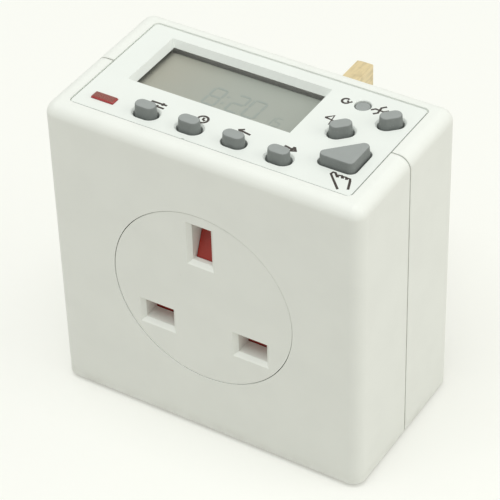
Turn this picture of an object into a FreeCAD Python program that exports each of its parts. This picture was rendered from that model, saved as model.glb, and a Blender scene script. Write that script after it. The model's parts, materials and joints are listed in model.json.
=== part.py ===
import FreeCAD, Part
import math
import os

os.makedirs("parts", exist_ok=True)
V = FreeCAD.Vector

# Axes: X runs right along the front face, +Y back towards the pins, +Z up, in millimetres.
# The origin is the centre of the housing's underside.

# Housing: two shells that part at half depth, with a tongue on the rear one
case_width = 72.4
case_depth = 39.3
case_height = 71.1
case_wall = 2.0
edge_radius = 2.8
foot_chamfer = 0.4
parting_gap = 0.35
lip_length = 2.4
lip_wall = 0.95
lip_clearance = 0.05

# Three-pin plug and outlet, to the British 13 A standard
pin_pitch = 22.2
outlet_from_top = 44.55
flat_pin_width = 6.35
flat_pin_height = 3.97
flat_pin_length = 17.7
earth_pin_width = 3.97
earth_pin_height = 7.92
earth_pin_length = 22.7
pin_tip_chamfer = 1.1
pin_tip_draw = 0.65
pin_root_length = 3.3
pin_flange_thickness = 1.5
pin_flange_margin = 1.6
pin_hole_clearance = 0.05
sleeve_length = 9.2
sleeve_wall = 0.45

# Raised plug base on the back
plug_base_width = 47.0
plug_base_height = 49.0
plug_base_rise = 12.05
plug_base_depth = 6.3
plug_base_radius = 9.0
plug_base_chamfer = 0.8
plug_base_wall = 2.2

# Outlet insert in the front face
insert_radius = 20.9
insert_rise = 8.85
insert_gap = 0.16
insert_sink = 0.1
insert_plate = 1.9
lead_in_width = 0.9
flat_slot_width = 6.7
flat_slot_height = 4.5
earth_slot_width = 4.5
earth_slot_height = 8.8
slot_tube_wall = 1.2
slot_tube_depth = 4.6
insert_lug_size = 3.0
insert_lug_angles = (-33.0, 45.0, 135.0, 213.0)

# Shutter: a ramp in the earth slot joined to a cover behind the two flat-pin slots
shutter_gap = 0.15
shutter_thickness = 2.0
shutter_travel = 6.5
shutter_cover_overlap = 0.5
shutter_stem_width = 8.0
shutter_shoulder = 4.0
ramp_side_clearance = 0.1
ramp_front_gap = 0.12
ramp_lean = 0.4
ramp_rise = 6.1
ramp_foot = 1.5
ramp_crest_radius = 0.5

# Return spring under the shutter's cover, on a shelf of the front shell; its coil fills a sleeve
spring_wire = 0.4
spring_outer = 2.0
spring_room = 7.6
spring_end_gap = 0.1
spring_shelf_thickness = 1.2
spring_shelf_width = 7.0

# Carrier behind the shutter, which holds the three sprung contacts
carrier_thickness = 1.8
carrier_half_width = 22.5
carrier_head = 6.25
carrier_window_margin = 0.4
carrier_post_x = 19.6
carrier_post_rise = 16.6
carrier_post_size = 4.2
carrier_peg_size = 2.4
carrier_peg_rise = 1.0
peg_clearance = 0.05
stop_height = 1.0
stop_width = 2.0
pocket_wall = 1.1
pocket_clearance = 0.35
clip_thickness = 0.6
clip_bend = 0.5
clip_grip = 0.15
clip_flare = 1.0
clip_flare_length = 1.8
clip_bow = 0.9
clip_behind_tip = 1.6
clip_width_margin = 0.25
clip_mouth_gap = 0.2

# Brass straps between contacts, pins and the power board
strap_thickness = 0.8
strap_offset = 2.2
strap_foot = 4.6
strap_height = 5.0
strap_width = 3.0
strap_reach = 2.0
strap_drop = 4.5
strap_slant = 4.0
strap_wall_gap = 3.15
strap_relay_gap = 1.2

# Control panel let into the top
panel_side_margin = 4.25
panel_end_margin = 3.65
panel_plate = 1.6
panel_sink = 0.15
panel_gap = 0.1
panel_corner = 1.2
panel_edge = 0.25
panel_skirt_wall = 1.2
panel_skirt_drop = 1.45
panel_flange_width = 1.2
panel_flange_clearance = 0.1
shelf_width = 2.2
shelf_thickness = 1.2
panel_post_size = 3.2
panel_post_inset = (3.0, 2.9)
panel_rest_size = 2.4
panel_rest_inset = 9.2
pry_notch_inset = 26.65
pry_notch_width = 1.0
pry_notch_depth = 0.35

# Display, its insets measured from the panel's four edges
window_left_inset = 6.1
window_right_inset = 20.2
window_front_inset = 12.14
window_back_inset = 3.26
window_bevel = 0.8
pane_margin = 1.2
pane_thickness = 1.2
pane_gap = 0.1
holder_wall = 0.45
holder_rib = 0.6
cell_clearance = 0.1
cell_glass = 1.05
cell_ledge = 1.4
holder_rail = 3.4
zebra_height = 3.05
zebra_width = 1.6
zebra_end_margin = 1.8
zebra_clearance = 0.1

# Boards
board_thickness = 1.6
board_clearance = 0.5
power_board_height = 3.4
power_board_end_gap = 0.65
power_board_side_gap = 0.4
board_rest_size = 4.0

# Keys, their centres measured from the panel's edges; each is a rubber body round its own skeleton
row_left_inset = 15.68
row_right_inset = 17.92
row_front_inset = 4.14
row_names = ("set_key", "time_key", "left_key", "right_key")
key_half_straight = 0.9
key_hole_radius = 1.9
key_hole_clearance = 0.25
key_proud = 2.2
key_travel = 1.2
key_stop_gap = 0.15
key_flange_width = 0.6
key_flange_thickness = 0.8
key_flange_gap = 0.3
countdown_inset = (11.78, 14.75)
random_inset = (4.64, 7.63)
manual_inset = (4.25, 7.57)
manual_leg = 5.4
manual_hole_radius = 1.6
reset_inset = (12.32, 4.93)
reset_hole_radius = 1.75
reset_clearance = 0.12
reset_recess = 0.25
reset_travel = 0.8
plunger_width = 2.6
plunger_depth = 2.0
mat_thickness = 1.5
mat_well_clearance = 0.3
mat_collar_wall = 0.7
mat_collar_height = 1.4
mat_margin = 0.25
mat_row_left = 4.53
mat_holder_gap = 1.24
mat_post_clearance = 0.3
pill_width = 2.2
pill_depth = 1.6
pill_thickness = 0.35

# Indicator
lens_inset = (5.85, 4.15)
lens_width = 5.2
lens_depth = 2.1
lens_proud = 0.5
lens_clearance = 0.06
lens_flange = 0.5
lens_flange_thickness = 0.8
lens_bevel = 0.25
led_radius = 1.5
led_gap = 0.3

# Fasteners
case_screw_radius = 1.45
case_screw_head_radius = 2.6
case_screw_head = 1.8
case_screw_length = 16.0
case_screw_seat = 8.0
front_boss_size = 5.6
case_boss_wall = 1.3
case_boss_inset = 5.1
boss_floor_gap = 1.0
boss_board_gap = 0.5
head_clearance = 0.3
thread_clearance = 0.05
shank_clearance = 0.25
board_screw_radius = 0.9
board_screw_head_radius = 1.7
board_screw_head = 1.0
board_screw_grip = 3.6
screw_end_gap = 0.4

# Parts on the power board, in the room that the contacts and the shells leave
part_clearance = 1.25
part_chamfer = 0.5
relay_inset = 0.3
relay_edge = 0.3
relay_set_back = 1.0
relay_back_space = 5.45
relay_headroom = 1.45
dropper_reach = 6.25
dropper_edge = 0.65
dropper_back_space = 7.65
dropper_headroom = 2.25
smoothing_radius = 4.0
smoothing_gap = 0.6
smoothing_headroom = 4.75
varistor_radius = 4.0
varistor_thickness = 3.6
varistor_lift = 1.0
lead_size = 0.7
lead_pitch = 5.0
rectifier_size = (6.4, 8.5, 3.3)
rectifier_at = (-0.9, 4.0)
rectifier_lift = 1.2
ribbon_ways = 5
ribbon_pitch = 1.0
ribbon_thickness = 0.9
ribbon_groove = 0.2
ribbon_inset = 6.65

# Parts under the control board
chip_width = 7.5
chip_length = 9.5
chip_thickness = 1.4
chip_standoff = 0.1
chip_at = (8.0, 2.5)
chip_lead_count = 7
chip_lead_pitch = 1.27
chip_lead_width = 0.42
chip_lead_thickness = 0.25
chip_lead_reach = 1.2
crystal_radius = 1.5
crystal_length = 8.0
crystal_at = (18.6, 3.0)
backup_cell_radius = 7.75
backup_cell_height = 5.4
backup_cell_at = (-12.5, 4.5)

# Retainer inside the plug base
retainer_thickness = 1.5
retainer_margin = 1.3
retainer_peg_size = 2.6
retainer_peg_x = 12.5
retainer_peg_rise = 17.45
retainer_peg_length = 3.6

# Places that follow from the sizes above
SIDES = (-1, 1)
front_y = -case_depth / 2
back_y = case_depth / 2
front_inner = front_y + case_wall
back_inner = back_y - case_wall
inner_x = case_width / 2 - case_wall
inner_top = case_height - case_wall
outlet_height = case_height - outlet_from_top
outlet_x = pin_pitch / 2
earth_height = outlet_height + pin_pitch
insert_centre = outlet_height + insert_rise
insert_y = front_y + insert_sink
slot_end_y = insert_y + slot_tube_depth
shutter_y = slot_end_y + shutter_gap
shutter_back_y = shutter_y + shutter_thickness
carrier_y = shutter_back_y + shutter_gap
carrier_back_y = carrier_y + carrier_thickness
cover_half_height = flat_slot_height / 2 + shutter_cover_overlap
cover_reach = outlet_x + flat_slot_width / 2 + shutter_cover_overlap
cover_low = outlet_height - cover_half_height
stop_top = cover_low - shutter_travel - shutter_gap
carrier_low = stop_top - stop_height
carrier_high = earth_height + carrier_head
spring_seat = stop_top - spring_room
earth_tip_y = insert_y + earth_pin_length
flat_tip_y = insert_y + flat_pin_length
base_y = back_y + plug_base_depth
base_inner_y = base_y - plug_base_wall
root_y = base_inner_y - pin_root_length
flange_y = base_inner_y - pin_flange_thickness
plug_base_centre = outlet_height + plug_base_rise
panel_width = case_width - 2 * panel_side_margin
panel_depth = case_depth - 2 * panel_end_margin
panel_left = -panel_width / 2
panel_right = panel_width / 2
panel_front = -panel_depth / 2
panel_back = panel_depth / 2
panel_top = case_height - panel_sink
panel_under = panel_top - panel_plate
skirt_low = panel_under - panel_skirt_drop
window_left = panel_left + window_left_inset
window_right = panel_right - window_right_inset
window_front = panel_front + window_front_inset
window_back = panel_back - window_back_inset
lens_x = panel_left + lens_inset[0]
lens_y = panel_front + lens_inset[1]
pane_low = panel_under - pane_thickness
cell_top = pane_low - pane_gap
cell_low = cell_top - 2 * cell_glass
control_board_top = cell_low - zebra_height
control_board_low = control_board_top - board_thickness
control_board_width = panel_width - 2 * (panel_skirt_wall + board_clearance)
control_board_depth = panel_depth - 2 * (panel_skirt_wall + board_clearance)
power_board_top = power_board_height + board_thickness
boss_half = case_screw_head_radius + head_clearance + case_boss_wall
boss_x = case_width / 2 - case_boss_inset
boss_side_x = boss_x - boss_half
lower_boss_height = boss_half + boss_floor_gap
upper_boss_height = control_board_low - board_screw_head - boss_board_gap - boss_half
power_board_width = 2 * (boss_x - boss_half - power_board_side_gap)
power_board_front = carrier_back_y
power_board_back = back_inner - power_board_end_gap
parts_front = carrier_back_y + carrier_peg_rise + part_clearance
contact_half = flat_pin_height / 2 - clip_grip + clip_bow + clip_thickness + pocket_clearance + pocket_wall
contacts_low = outlet_height - contact_half
relay_left = outlet_x - relay_inset
relay_back = back_inner - relay_back_space
dropper_right = -outlet_x - dropper_reach
dropper_back = back_inner - dropper_back_space
smoothing_x = dropper_right + smoothing_gap + smoothing_radius
varistor_y = parts_front + varistor_radius
smoothing_y = varistor_y + varistor_radius + smoothing_gap + smoothing_radius
ribbon_x = -control_board_width / 2 + ribbon_inset
ribbon_y = (dropper_back + back_inner) / 2


def box(x0, x1, y0, y1, z0, z1):
    """Block between two opposite corners."""
    return Part.makeBox(x1 - x0, y1 - y0, z1 - z0, V(x0, y0, z0))


def rod(radius, start, end):
    """Round bar between two points."""
    run = end - start
    return Part.makeCylinder(radius, run.Length, start, run)


def turned(profile, at, along):
    """Solid turned about an axis from (radius, distance along it) points."""
    side = V(0, 0, 1) if abs(along.z) < 0.5 else V(1, 0, 0)
    points = [at + side * r + along * a for r, a in profile]
    return Part.Face(Part.makePolygon(points + points[:1])).revolve(at, along, 360)


def fused(shapes):
    """One solid from overlapping or touching shapes."""
    first = shapes[0]
    return first.multiFuse(shapes[1:]).removeSplitter() if len(shapes) > 1 else first


def group(solids):
    """Separate solids kept side by side in one node."""
    return Part.makeCompound(solids)


def edges_at_height(shape, height):
    """Edges that lie flat at one height."""
    level = 1e-4
    return [e for e in shape.Edges
            if abs(e.BoundBox.ZMin - height) < level and abs(e.BoundBox.ZMax - height) < level]


def rounded_loop(corners, radii, place):
    """Closed wire through 2-D corners, each with its own radius; place maps (u, v) to space."""
    arcs = []
    for i, (u, v) in enumerate(corners):
        corner = V(u, v, 0)
        before = (V(*corners[i - 1], 0) - corner).normalize()
        after = (V(*corners[(i + 1) % len(corners)], 0) - corner).normalize()
        half = before.getAngle(after) / 2
        reach = radii[i] / math.tan(half)
        middle = (before + after).normalize() * (radii[i] / math.sin(half) - radii[i])
        arcs.append((corner + before * reach, corner + middle, corner + after * reach))
    edges = []
    for i, (start, middle, end) in enumerate(arcs):
        if radii[i] > 0:
            points = [place(p.x, p.y) for p in (start, middle, end)]
            edges.append(Part.Arc(*points).toShape())
        following = arcs[(i + 1) % len(arcs)][0]
        if end.distanceToPoint(following) > 1e-6:
            edges.append(Part.makeLine(place(end.x, end.y), place(following.x, following.y)))
    return Part.Wire(edges)


def level(z):
    """Place function for a profile seen from above."""
    return lambda u, v: V(u, v, z)


def upright(x):
    """Place function for a profile in the YZ plane."""
    return lambda u, v: V(x, u, v)


def facing(y):
    """Place function for a profile in the XZ plane."""
    return lambda u, v: V(u, y, v)


def rectangle(u0, u1, v0, v1):
    """Corners of a rectangle in order."""
    return [(u0, v0), (u1, v0), (u1, v1), (u0, v1)]


def loop(corners, place):
    """Closed wire of straight lines through 2-D corners."""
    points = [place(u, v) for u, v in corners]
    return Part.makePolygon(points + points[:1])


def plate(corners, place, thrust):
    """Plate with sharp corners, extruded from its profile."""
    return Part.Face(loop(corners, place)).extrude(thrust)


def rounded_plate(corners, radius, place, thrust):
    """Plate with rounded corners, extruded from its profile."""
    return Part.Face(rounded_loop(corners, [radius] * len(corners), place)).extrude(thrust)


def taper(x, z, half, tall, draw, y0, y1):
    """Block along Y round an axis, whose four sides draw in between two depths."""
    return Part.makeWedge(x - half, y0, z - tall, z - tall + draw, x - half + draw,
                          x + half, y1, z + tall, z + tall - draw, x + half - draw)


def eight_sided(skeleton, radius):
    """Corners of the outline whose eight flat sides lie at one radius round a skeleton."""
    normals = [V(math.cos(i * math.pi / 4), math.sin(i * math.pi / 4), 0) for i in range(9)]
    reaches = [max(n.x * x + n.y * y for x, y in skeleton) + radius for n in normals]
    corners = []
    for a, b, p, q in zip(normals, normals[1:], reaches, reaches[1:]):
        spread = a.x * b.y - a.y * b.x
        corners.append(((p * b.y - q * a.y) / spread, (q * a.x - p * b.x) / spread))
    return corners


def outline(skeleton, radius, z):
    """Closed wire at one radius round a point, a segment or a convex triangle, at height z."""
    if len(skeleton) == 1:
        return Part.Wire(Part.makeCircle(radius, V(*skeleton[0], z)))
    points = [V(x, y, z) for x, y in skeleton]
    edges = []
    for i, point in enumerate(points):
        arrive = (point - points[i - 1]).normalize()
        leave = (points[(i + 1) % len(points)] - point).normalize()
        side_in = V(arrive.y, -arrive.x, 0) * radius
        side_out = V(leave.y, -leave.x, 0) * radius
        crown = side_in + side_out
        crown = crown.normalize() * radius if crown.Length > 1e-6 else arrive * radius
        edges.append(Part.Arc(point + side_in, point + crown, point + side_out).toShape())
        following = points[(i + 1) % len(points)]
        edges.append(Part.makeLine(point + side_out, following + side_out))
    return Part.Wire(edges)


def strip(points, thickness, bend, place, thrust):
    """Bent strip of even thickness along a centre line of 2-D points, extruded to its width."""
    left, right, turns = [], [], []
    for i, (u, v) in enumerate(points):
        here = V(u, v, 0)
        before = (here - V(*points[i - 1], 0)).normalize() if i else None
        after = (V(*points[i + 1], 0) - here).normalize() if i < len(points) - 1 else None
        along = ((before or after) + (after or before)).normalize()
        normal = V(-along.y, along.x, 0)
        stretch = 1.0
        turn = 0.0
        if before and after:
            stretch = 1 / math.cos(before.getAngle(after) / 2)
            turn = before.cross(after).z
        offset = normal * (thickness / 2 * stretch)
        left.append(here + offset)
        right.append(here - offset)
        turns.append(turn)
    corners = [(p.x, p.y) for p in left] + [(p.x, p.y) for p in reversed(right)]
    if bend == 0:
        return plate(corners, place, thrust)
    left_radii = [0 if turn == 0 else bend + (thickness if turn < 0 else 0) for turn in turns]
    right_radii = [0 if turn == 0 else bend + (thickness if turn > 0 else 0) for turn in turns]
    wire = rounded_loop(corners, left_radii + list(reversed(right_radii)), place)
    return Part.Face(wire).extrude(thrust)


def screw(at, along, radius, length, head_radius, head):
    """Self-tapping screw with a round head; at is the middle of the head's underside."""
    profile = [(0, -head), (head_radius, -head), (head_radius, 0), (radius, 0), (radius, length),
               (0, length)]
    return turned(profile, at, along)


def key_table():
    """Each key's name and the skeleton that its outlines run round."""
    first = panel_left + row_left_inset
    last = panel_right - row_right_inset
    row_y = panel_front + row_front_inset
    table = {}
    for i, name in enumerate(row_names):
        centre = first + (last - first) * i / (len(row_names) - 1)
        table[name] = [(centre - key_half_straight, row_y), (centre + key_half_straight, row_y)]
    lean = key_half_straight * math.sqrt(0.5)
    for name, inset in (("countdown_key", countdown_inset), ("random_key", random_inset)):
        x, y = panel_right - inset[0], panel_back - inset[1]
        table[name] = [(x - lean, y - lean), (x + lean, y + lean)]
    x, y = panel_right - manual_inset[0], panel_front + manual_inset[1]
    table["manual_key"] = [(x - manual_leg, y), (x, y), (x, y + manual_leg)]
    table["reset_key"] = [(panel_right - reset_inset[0], panel_back - reset_inset[1])]
    return table


def key_middle(name):
    """Middle of a key's skeleton."""
    skeleton = key_table()[name]
    return [sum(point[i] for point in skeleton) / len(skeleton) for i in range(2)]


def hole_radius(name):
    """Radius of a key's hole in the panel round its skeleton."""
    return {"manual_key": manual_hole_radius, "reset_key": reset_hole_radius}.get(name, key_hole_radius)


def cap_radius(name):
    """Radius of a key's cap round its skeleton."""
    return hole_radius(name) - (reset_clearance if name == "reset_key" else key_hole_clearance)


def travel(name):
    """How far a key goes down."""
    return reset_travel if name == "reset_key" else key_travel


def key_bottom(name):
    """Height of a plunger's lower face when the key is up."""
    return control_board_top + travel(name) + key_stop_gap + pill_thickness


def housing_block(inset, y0, y1):
    """The housing's outer form drawn in by an inset, between two depths."""
    half = case_width / 2 - inset
    deep = case_depth / 2 - inset
    block = box(-half, half, -deep, deep, inset, case_height - inset)
    soft = [e for e in block.Edges if e.BoundBox.ZMax > inset + 0.001]
    block = block.makeFillet(edge_radius - inset, soft)
    if inset == 0:
        block = block.makeChamfer(foot_chamfer, edges_at_height(block, 0))
    return block.common(box(-case_width, case_width, y0, y1, -1, case_height + 1))


def cavity():
    """The hollow inside the two shells."""
    return box(-inner_x, inner_x, front_inner, back_inner, case_wall, inner_top)


def panel_opening():
    """The hole in the housing's top that the panel's plate fills."""
    half_x = panel_right + panel_gap
    half_y = panel_back + panel_gap
    return rounded_plate(rectangle(-half_x, half_x, -half_y, half_y), panel_corner,
                         level(inner_top - 1), V(0, 0, case_wall + 2))


def panel_shelf(y0, y1):
    """Ledge inside the shells that the panel's flange rests on."""
    outer = box(-inner_x, inner_x, front_inner, back_inner, skirt_low - shelf_thickness, skirt_low)
    inner = box(-inner_x + shelf_width, inner_x - shelf_width, front_inner + shelf_width,
                back_inner - shelf_width, 0, case_height)
    return outer.cut(inner).common(box(-case_width, case_width, y0, y1, 0, case_height))


def boss_places():
    """The four case screws' axes as (x, z)."""
    return [(side * boss_x, z) for side in SIDES for z in (lower_boss_height, upper_boss_height)]


def carrier_post_places():
    """The four posts that the carrier is staked to, as (x, z)."""
    return [(side * carrier_post_x, insert_centre + end * carrier_post_rise)
            for side in SIDES for end in SIDES]


def square_bar(x, z, size, y0, y1):
    """Square bar along Y between two depths."""
    return box(x - size / 2, x + size / 2, y0, y1, z - size / 2, z + size / 2)


def board_rests(y0, y1):
    """Blocks on the floor that carry the power board's corners."""
    outer = power_board_width / 2
    rests = []
    for side in SIDES:
        x0, x1 = sorted((side * (outer - board_rest_size), side * outer))
        rests.append(box(x0, x1, y0, y1, case_wall / 2, power_board_height))
    return rests


def front_case():
    """Front shell: face with the round outlet opening, screw bosses, posts and the spring's shelf."""
    root = front_inner - case_wall / 4
    skin = housing_block(0, -case_depth, -parting_gap / 2).cut(cavity())
    skin = skin.cut(housing_block(lip_wall, -lip_length, parting_gap))
    additions = [skin, panel_shelf(-case_depth, -lip_length)]
    for x, z in boss_places():
        additions.append(square_bar(x, z, front_boss_size, root, 0))
    for x, z in carrier_post_places():
        additions.append(square_bar(x, z, carrier_post_size, root, carrier_y))
        additions.append(square_bar(x, z, carrier_peg_size, root, carrier_back_y + carrier_peg_rise))
    additions.append(box(-spring_shelf_width / 2, spring_shelf_width / 2, root, carrier_y,
                         spring_seat - spring_shelf_thickness, spring_seat))
    additions += board_rests(power_board_front, power_board_front + board_rest_size)
    shell = fused(additions).cut(panel_opening())
    shell = shell.cut(rod(insert_radius + insert_gap, V(0, front_y - 1, insert_centre),
                          V(0, front_inner + 0.01, insert_centre)))
    for x, z in boss_places():
        shell = shell.cut(rod(case_screw_radius + thread_clearance,
                              V(x, case_screw_seat - case_screw_length - screw_end_gap, z), V(x, 1, z)))
    return shell


def plug_base():
    """The raised base's outer form, from inside the back wall to its bevelled face."""
    half = plug_base_width / 2
    tall = plug_base_height / 2
    corners = rectangle(-half, half, plug_base_centre - tall, plug_base_centre + tall)
    start = back_y - case_wall / 2
    form = rounded_plate(corners, plug_base_radius, facing(start), V(0, base_y - start, 0))
    rim = [e for e in form.Edges if abs(e.BoundBox.YMin - base_y) < 1e-4]
    return form.makeChamfer(plug_base_chamfer, rim)


def plug_base_hollow():
    """The hollow inside the raised base, open to the housing."""
    half = plug_base_width / 2 - plug_base_wall
    tall = plug_base_height / 2 - plug_base_wall
    corners = rectangle(-half, half, plug_base_centre - tall, plug_base_centre + tall)
    start = back_inner - 0.01
    return rounded_plate(corners, plug_base_radius - plug_base_wall, facing(start),
                         V(0, base_inner_y - start, 0))


def pin_places():
    """Each pin as (x, z, half width, half height, free length)."""
    flat = (flat_pin_width / 2, flat_pin_height / 2, flat_pin_length)
    return {"live": (outlet_x, outlet_height, *flat), "neutral": (-outlet_x, outlet_height, *flat),
            "earth": (0, earth_height, earth_pin_width / 2, earth_pin_height / 2, earth_pin_length)}


def pin_bar(name, grow, y0, y1):
    """Block along a pin, grown on its four long sides, between two depths."""
    x, z, half, tall, _ = pin_places()[name]
    return box(x - half - grow, x + half + grow, y0, y1, z - tall - grow, z + tall + grow)


def peg_places():
    """The retainer's two staking pegs as (x, z)."""
    return [(side * retainer_peg_x, outlet_height + retainer_peg_rise) for side in SIDES]


def rear_case():
    """Rear shell: tongue, raised plug base with the pin holes, screw bosses and staking pegs."""
    skin = housing_block(0, parting_gap / 2, case_depth)
    tongue = housing_block(lip_wall + lip_clearance, -lip_length, parting_gap)
    shell = fused([skin, tongue, plug_base()]).cut(cavity()).cut(plug_base_hollow())
    extras = [shell, panel_shelf(0, case_depth)]
    for x, z in boss_places():
        x0, x1 = sorted((math.copysign(boss_side_x, x), math.copysign(inner_x + case_wall / 4, x)))
        extras.append(box(x0, x1, 0, back_inner + case_wall / 4, z - boss_half, z + boss_half))
    extras += board_rests(power_board_back - board_rest_size, power_board_back)
    for x, z in peg_places():
        extras.append(square_bar(x, z, retainer_peg_size, base_inner_y - retainer_peg_length,
                                 base_inner_y + plug_base_wall / 4))
    shell = fused(extras).cut(panel_opening())
    for x, z in boss_places():
        shell = shell.cut(rod(case_screw_radius + shank_clearance, V(x, -1, z), V(x, back_y, z)))
        shell = shell.cut(rod(case_screw_head_radius + head_clearance, V(x, case_screw_seat, z),
                              V(x, back_y + 1, z)))
    for name in pin_places():
        shell = shell.cut(pin_bar(name, pin_hole_clearance, base_inner_y - 1, base_y + 1))
    return shell


def case_screws():
    """The four screws that hold the shells together."""
    return group([screw(V(x, case_screw_seat, z), V(0, -1, 0), case_screw_radius, case_screw_length,
                        case_screw_head_radius, case_screw_head) for x, z in boss_places()])


def slot(x, z, width, height):
    """One aperture: a lead-in that narrows to the straight slot."""
    straight = box(x - width / 2, x + width / 2, insert_y - 1, slot_end_y + 1,
                   z - height / 2, z + height / 2)
    lead_in = taper(x, z, width / 2 + lead_in_width, height / 2 + lead_in_width, lead_in_width,
                    insert_y, insert_y + lead_in_width)
    return straight.fuse(lead_in)


def insert_lugs():
    """The insert's four lugs, behind the shell's wall on the insert's rim, as (x, z)."""
    return [(insert_radius * math.cos(math.radians(angle)),
             insert_centre + insert_radius * math.sin(math.radians(angle))) for angle in insert_lug_angles]


def outlet_insert():
    """Round outlet face with three apertures, slot tubes and lugs that the carrier presses on."""
    plate_back = insert_y + insert_plate
    pieces = [rod(insert_radius, V(0, insert_y, insert_centre), V(0, plate_back, insert_centre))]
    start = plate_back - 0.1
    half_x = flat_slot_width / 2 + slot_tube_wall
    half_z = flat_slot_height / 2 + slot_tube_wall
    for side in SIDES:
        x = side * outlet_x
        pieces.append(box(x - half_x, x + half_x, start, slot_end_y,
                          outlet_height - half_z, outlet_height + half_z))
    half = earth_slot_width / 2 + slot_tube_wall
    top = earth_height + earth_slot_height / 2
    pieces.append(box(-half, half, start, slot_end_y, top - earth_slot_height, top + slot_tube_wall))
    for x, z in insert_lugs():
        pieces.append(square_bar(x, z, insert_lug_size, front_inner, carrier_y))
    body = fused(pieces)
    for side in SIDES:
        body = body.cut(slot(side * outlet_x, outlet_height, flat_slot_width, flat_slot_height))
    body = body.cut(slot(0, earth_height, earth_slot_width, earth_slot_height))
    below = top - earth_slot_height
    return body.cut(box(-earth_slot_width / 2, earth_slot_width / 2, plate_back, slot_end_y + 1,
                        below - 1, below + 1))


def shutter():
    """Sliding shutter: a leaning ramp in the earth slot, a stem and a cover for the flat slots."""
    floor = earth_height - earth_slot_height / 2
    ramp_y = insert_y + insert_plate + ramp_front_gap
    half = earth_slot_width / 2 - ramp_side_clearance
    crest = floor + ramp_rise
    bottom = floor - ramp_foot
    crest_y = ramp_y + ramp_rise * ramp_lean
    corners = [(ramp_y, bottom), (ramp_y, floor), (crest_y, crest), (shutter_back_y, crest),
               (shutter_back_y, bottom)]
    ramp = Part.Face(rounded_loop(corners, [0, 0, ramp_crest_radius, 0, 0], upright(-half)))
    ramp = ramp.extrude(V(2 * half, 0, 0))
    cover_high = outlet_height + cover_half_height
    stem = shutter_stem_width / 2
    corners = [(-cover_reach, cover_low), (cover_reach, cover_low), (cover_reach, cover_high),
               (stem, cover_high + shutter_shoulder), (stem, bottom + 1), (-stem, bottom + 1),
               (-stem, cover_high + shutter_shoulder), (-cover_reach, cover_high)]
    cover = plate(corners, facing(shutter_y), V(0, shutter_thickness, 0))
    return fused([cover, ramp])


def shutter_spring():
    """Compression spring under the shutter, as the sleeve that its coil fills."""
    low = spring_seat + spring_end_gap
    high = cover_low - spring_end_gap
    centre_y = shutter_y + shutter_thickness / 2
    outer = rod(spring_outer / 2, V(0, centre_y, low), V(0, centre_y, high))
    return outer.cut(rod(spring_outer / 2 - spring_wire, V(0, centre_y, low - 1), V(0, centre_y, high + 1)))


def contact_carrier():
    """Plate behind the shutter: windows for the pins, a pocket behind each, and the shutter's stops."""
    pieces = [box(-carrier_half_width, carrier_half_width, carrier_y, carrier_back_y,
                  carrier_low, carrier_high)]
    hollows = []
    for name, (x, z, _, _, _) in pin_places().items():
        inside_x, inside_z, end = pocket_size(name)
        outer_x, outer_z = inside_x + pocket_wall, inside_z + pocket_wall
        pieces.append(box(x - outer_x, x + outer_x, carrier_back_y - 0.1, end, z - outer_z, z + outer_z))
        hollows.append(box(x - inside_x, x + inside_x, carrier_back_y, end + 1, z - inside_z, z + inside_z))
        hollows.append(pin_bar(name, carrier_window_margin, carrier_y - 1, carrier_back_y + 1))
    for side in SIDES:
        x = side * (cover_reach - stop_width)
        pieces.append(box(x - stop_width / 2, x + stop_width / 2, carrier_y - shutter_thickness,
                          carrier_y + 0.1, carrier_low, stop_top))
    body = fused(pieces)
    for hollow in hollows:
        body = body.cut(hollow)
    for x, z in carrier_post_places():
        hole = carrier_peg_size + 2 * peg_clearance
        body = body.cut(square_bar(x, z, hole, carrier_y - 1, carrier_back_y + 1))
    return body


def clip_half_gap(name):
    """Half the free gap between a clip's leaves, where they grip the pin."""
    thin = earth_pin_width if name == "earth" else flat_pin_height
    return thin / 2 - clip_grip


def clip_end_y(name):
    """Back face of the clip's closed end."""
    tip = earth_tip_y if name == "earth" else flat_tip_y
    return tip + clip_behind_tip + clip_thickness


def clip_half_width(name):
    """Half the clip's width along the pin's broad face."""
    broad = earth_pin_height if name == "earth" else flat_pin_width
    return broad / 2 + clip_width_margin


def pocket_size(name):
    """Inside half sizes and end of a contact's pocket."""
    across = clip_half_gap(name) + clip_bow + clip_thickness + pocket_clearance
    along = clip_half_width(name) + pocket_clearance
    end = clip_end_y(name)
    return (across, along, end) if name == "earth" else (along, across, end)


def clip(name):
    """Sprung contact: a U of strip whose leaves narrow to a grip and flare at the mouth."""
    x, z, _, _, _ = pin_places()[name]
    grip = clip_half_gap(name) + clip_thickness / 2
    mouth_y = carrier_back_y + clip_mouth_gap
    end_y = clip_end_y(name) - clip_thickness / 2
    centre = [(mouth_y, grip + clip_flare), (mouth_y + clip_flare_length, grip),
              (end_y, grip + clip_bow), (end_y, -grip - clip_bow),
              (mouth_y + clip_flare_length, -grip), (mouth_y, -grip - clip_flare)]
    half = clip_half_width(name)
    if name == "earth":
        points = [(v, u) for u, v in centre]
        return strip(points, clip_thickness, clip_bend, level(z - half), V(0, 0, 2 * half))
    points = [(u, v + z) for u, v in centre]
    return strip(points, clip_thickness, clip_bend, upright(x - half), V(2 * half, 0, 0))


def through_strap(name):
    """Brass strap bent at both ends, from a clip's closed end to the root of its pin."""
    x, z, _, _, _ = pin_places()[name]
    start = clip_end_y(name) + strap_thickness / 2
    end = root_y - strap_thickness / 2
    points = [(x + strap_offset - strap_foot, start), (x + strap_offset, start),
              (x + strap_offset, end), (x + strap_offset - strap_foot, end)]
    return strip(points, strap_thickness, clip_bend, level(z - strap_height / 2), V(0, 0, strap_height))


def live_feed_strap():
    """Strap from the live pin's root, forward past the back wall and down to the power board."""
    root = root_y - strap_thickness / 2
    pad_y = back_inner - strap_wall_gap
    knee = outlet_height - strap_drop
    points = [(root, outlet_height + strap_reach), (root, knee), (pad_y, knee - strap_slant),
              (pad_y, power_board_top)]
    left = outlet_x - strap_width / 2
    return strip(points, strap_thickness, clip_bend, upright(left), V(strap_width, 0, 0))


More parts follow.
